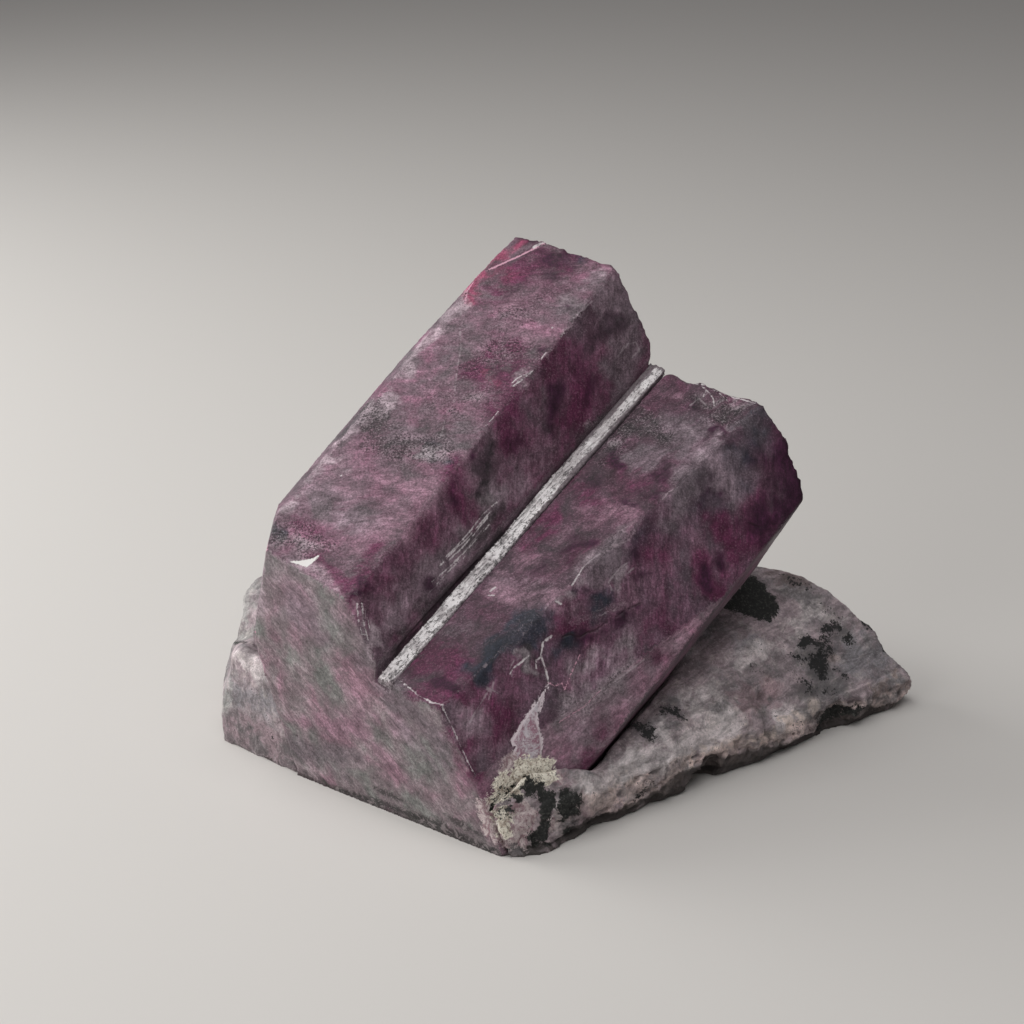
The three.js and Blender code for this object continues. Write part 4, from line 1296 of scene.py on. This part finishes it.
quartz = {
    "node": "seam_vein",
    "slot": "quartz",
    "voxel": 0.15 * mm,
    "levelWith": (590, 520),  # a place on the face that the strip lies along
    "leftOf": (560, 430),  # a place on its left
    "fillsFrom": (490, 552),  # the groove fills up between these two
    "fillsTo": (545, 488),
    "widen": 1.38,  # how much wider than its core the strip spreads over the groove
    "widenLeft": 1.5,  # and on the left of its upper part, where the groove is filled
    "roughness": 0.5,
    "unevenness": 0.05 * mm,
    "bump": (0.4, 0.12 * mm),
    "core": [  # its white part narrows towards the top
        (1.60, 388, 672, 440, 614),
        (1.50, 440, 614, 500, 547),
        (1.25, 500, 547, 560, 476),
        (0.95, 560, 476, 610, 422),
        (0.70, 610, 422, 657, 372),
    ],
    "grains": {"perSquareMetre": 1.6e6, "size": 0.17 * mm, "smallest": 0.4, "largest": 1.3, "seed": 4},
    "noises": {
        "fine": (2200, 3, 0.75, 0, (1, 0.6, 1)),
        "lines": (1900, 3, 0.7, 0, (1, 0.12, 1)),
        "drift": (260, 4, 0.6, 0, (0.3, 1, 1)),
    },
    "tints": {
        "grey": (0.560, 0.520, 0.535), "white": (0.880, 0.850, 0.865), "line": (0.170, 0.155, 0.162),
        "dot": (0.055, 0.050, 0.053), "glint": (0.900, 0.880, 0.890), "edgeShadeDark": (0.080, 0.062, 0.072),
        "edgeShadePale": (0.280, 0.235, 0.256), "edgeShadeUpper": (0.215, 0.180, 0.198),
    },
}


def scatterGrains(piece, settings, material):
    tree = bpy.data.node_groups.new("quartzGrains", "GeometryNodeTree")
    tree.is_modifier = True
    socket = tree.interface.new_socket
    socket("Strip", in_out="INPUT", socket_type="NodeSocketGeometry")
    density = socket("Grains per square metre", in_out="INPUT", socket_type="NodeSocketFloat")
    socket("Strip with grains", in_out="OUTPUT", socket_type="NodeSocketGeometry")
    given = addNode(tree, "NodeGroupInput").outputs
    points = addNode(tree, "GeometryNodeDistributePointsOnFaces", {
        "Mesh": given["Strip"], "Density": given["Grains per square metre"], "Seed": settings["seed"],
    })
    grain = addNode(tree, "GeometryNodeMeshIcoSphere", {"Radius": settings["size"], "Subdivisions": 1})

    def randomVector(low, high, seed):
        return addNode(tree, "FunctionNodeRandomValue", {
            "Min": (low, low, low), "Max": (high, high, high), "Seed": seed,
        }, data_type="FLOAT_VECTOR").outputs["Value"]

    grains = addNode(tree, "GeometryNodeInstanceOnPoints", {
        "Points": points.outputs["Points"], "Instance": grain.outputs["Mesh"],
        "Rotation": randomVector(0, 6.28, settings["seed"] + 1),
        "Scale": randomVector(settings["smallest"], settings["largest"], settings["seed"] + 2),
    })
    both = addNode(tree, "GeometryNodeJoinGeometry")
    tree.links.new(grains.outputs["Instances"], both.inputs["Geometry"])
    tree.links.new(given["Strip"], both.inputs["Geometry"])
    solid = addNode(tree, "GeometryNodeRealizeInstances", {"Geometry": both.outputs["Geometry"]})
    painted = addNode(tree, "GeometryNodeSetMaterial", {
        "Geometry": solid.outputs["Geometry"], "Material": material,
    })
    addNode(tree, "NodeGroupOutput", {"Strip with grains": painted.outputs["Geometry"]})

    scatter = piece.modifiers.new("grains", "NODES")
    scatter.node_group = tree
    scatter[density.identifier] = settings["perSquareMetre"]
    applyModifier(piece, scatter)


def makeQuartz():
    cad = mergedMesh(quartz["node"])
    piece = denseObject("quartzStrip", cad, quartz["voxel"])
    mesh = piece.data
    points = pointsOf(mesh)
    normals = normalsOf(mesh)
    up = surfaceAt(*quartz["levelWith"])[1]
    across = np.cross(growth, up)
    across /= np.linalg.norm(across)
    aside = points @ across
    middle = np.median(aside)
    leftward = np.sign(surfaceAt(*quartz["leftOf"])[0] @ across - middle)
    lower, upper = (surfaceAt(*quartz[key])[0] @ growth for key in ("fillsFrom", "fillsTo"))
    fuller = between((aside - middle) * leftward, 0, 0.3 * mm) * between(points @ growth, lower, upper)
    widen = quartz["widen"] + (quartz["widenLeft"] - quartz["widen"]) * fuller
    points += ((aside - middle) * (widen - 1))[:, None] * across
    rough = layeredNoise(points, 0.7 * mm, seed=71, layers=3)
    points += normals * (quartz["unevenness"] * rough)[:, None]
    movePoints(mesh, keepInside(points))
    material = quartzStone()
    mesh.materials.clear()
    mesh.materials.append(material)
    scatterGrains(piece, quartz["grains"], material)
    mesh = piece.data
    points = pointsOf(mesh)
    print("  quartz grid:", len(points), "points")
    addField(mesh, "core", lineField(points, quartz["core"]))
    addField(mesh, "grain", np.stack([points @ across, points @ growth, points @ up], axis=1), "FLOAT_VECTOR")
    addField(mesh, "upper", between(points @ growth, lower, upper + (upper - lower)))
    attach(piece, "root")
    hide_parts(quartz["node"])


def quartzStone():
    tints = quartz["tints"]
    stone = Stone("quartzStone", quartz)
    grain = stone.field("grain", "Vector")
    fine, lines, drift = (stone.noise(n, grain) for n in ("fine", "lines", "drift"))
    inner = stone.field("core")
    upper = stone.field("upper")
    dots = stone.minus(fine, stone.ramp(inner, 0.9, 0.2, 0.0, 0.06))
    dots = stone.plus(dots, stone.times(upper, 0.06))
    frayed = stone.plus(inner, stone.swing(lines, 1.6))
    # the strip's margins in the groove are painted shade: dark in the lower part, lighter in the upper part
    # where the groove is filled
    edgeShading = stone.layered(
        tints["edgeShadeDark"],
        (stone.ramp(fine, 0.40, 0.60), tints["edgeShadePale"]),
        (stone.times(upper, 0.6), tints["edgeShadeUpper"]),
    )
    stone.colour = stone.layered(
        tints["grey"],
        (stone.ramp(drift, 0.40, 0.60), tints["white"]),
        (stone.ramp(lines, 0.49, 0.41, 0, 0.65), tints["line"]),
        (stone.ramp(dots, 0.46, 0.39, 0, 0.85), tints["dot"]),
        (stone.ramp(fine, 0.57, 0.68, 0, 0.8), tints["glint"]),
        (stone.ramp(frayed, 0.12, -0.20), edgeShading),
    )
    return stone.finish(quartz["roughness"], fine)


makeQuartz()
print("quartz ready")
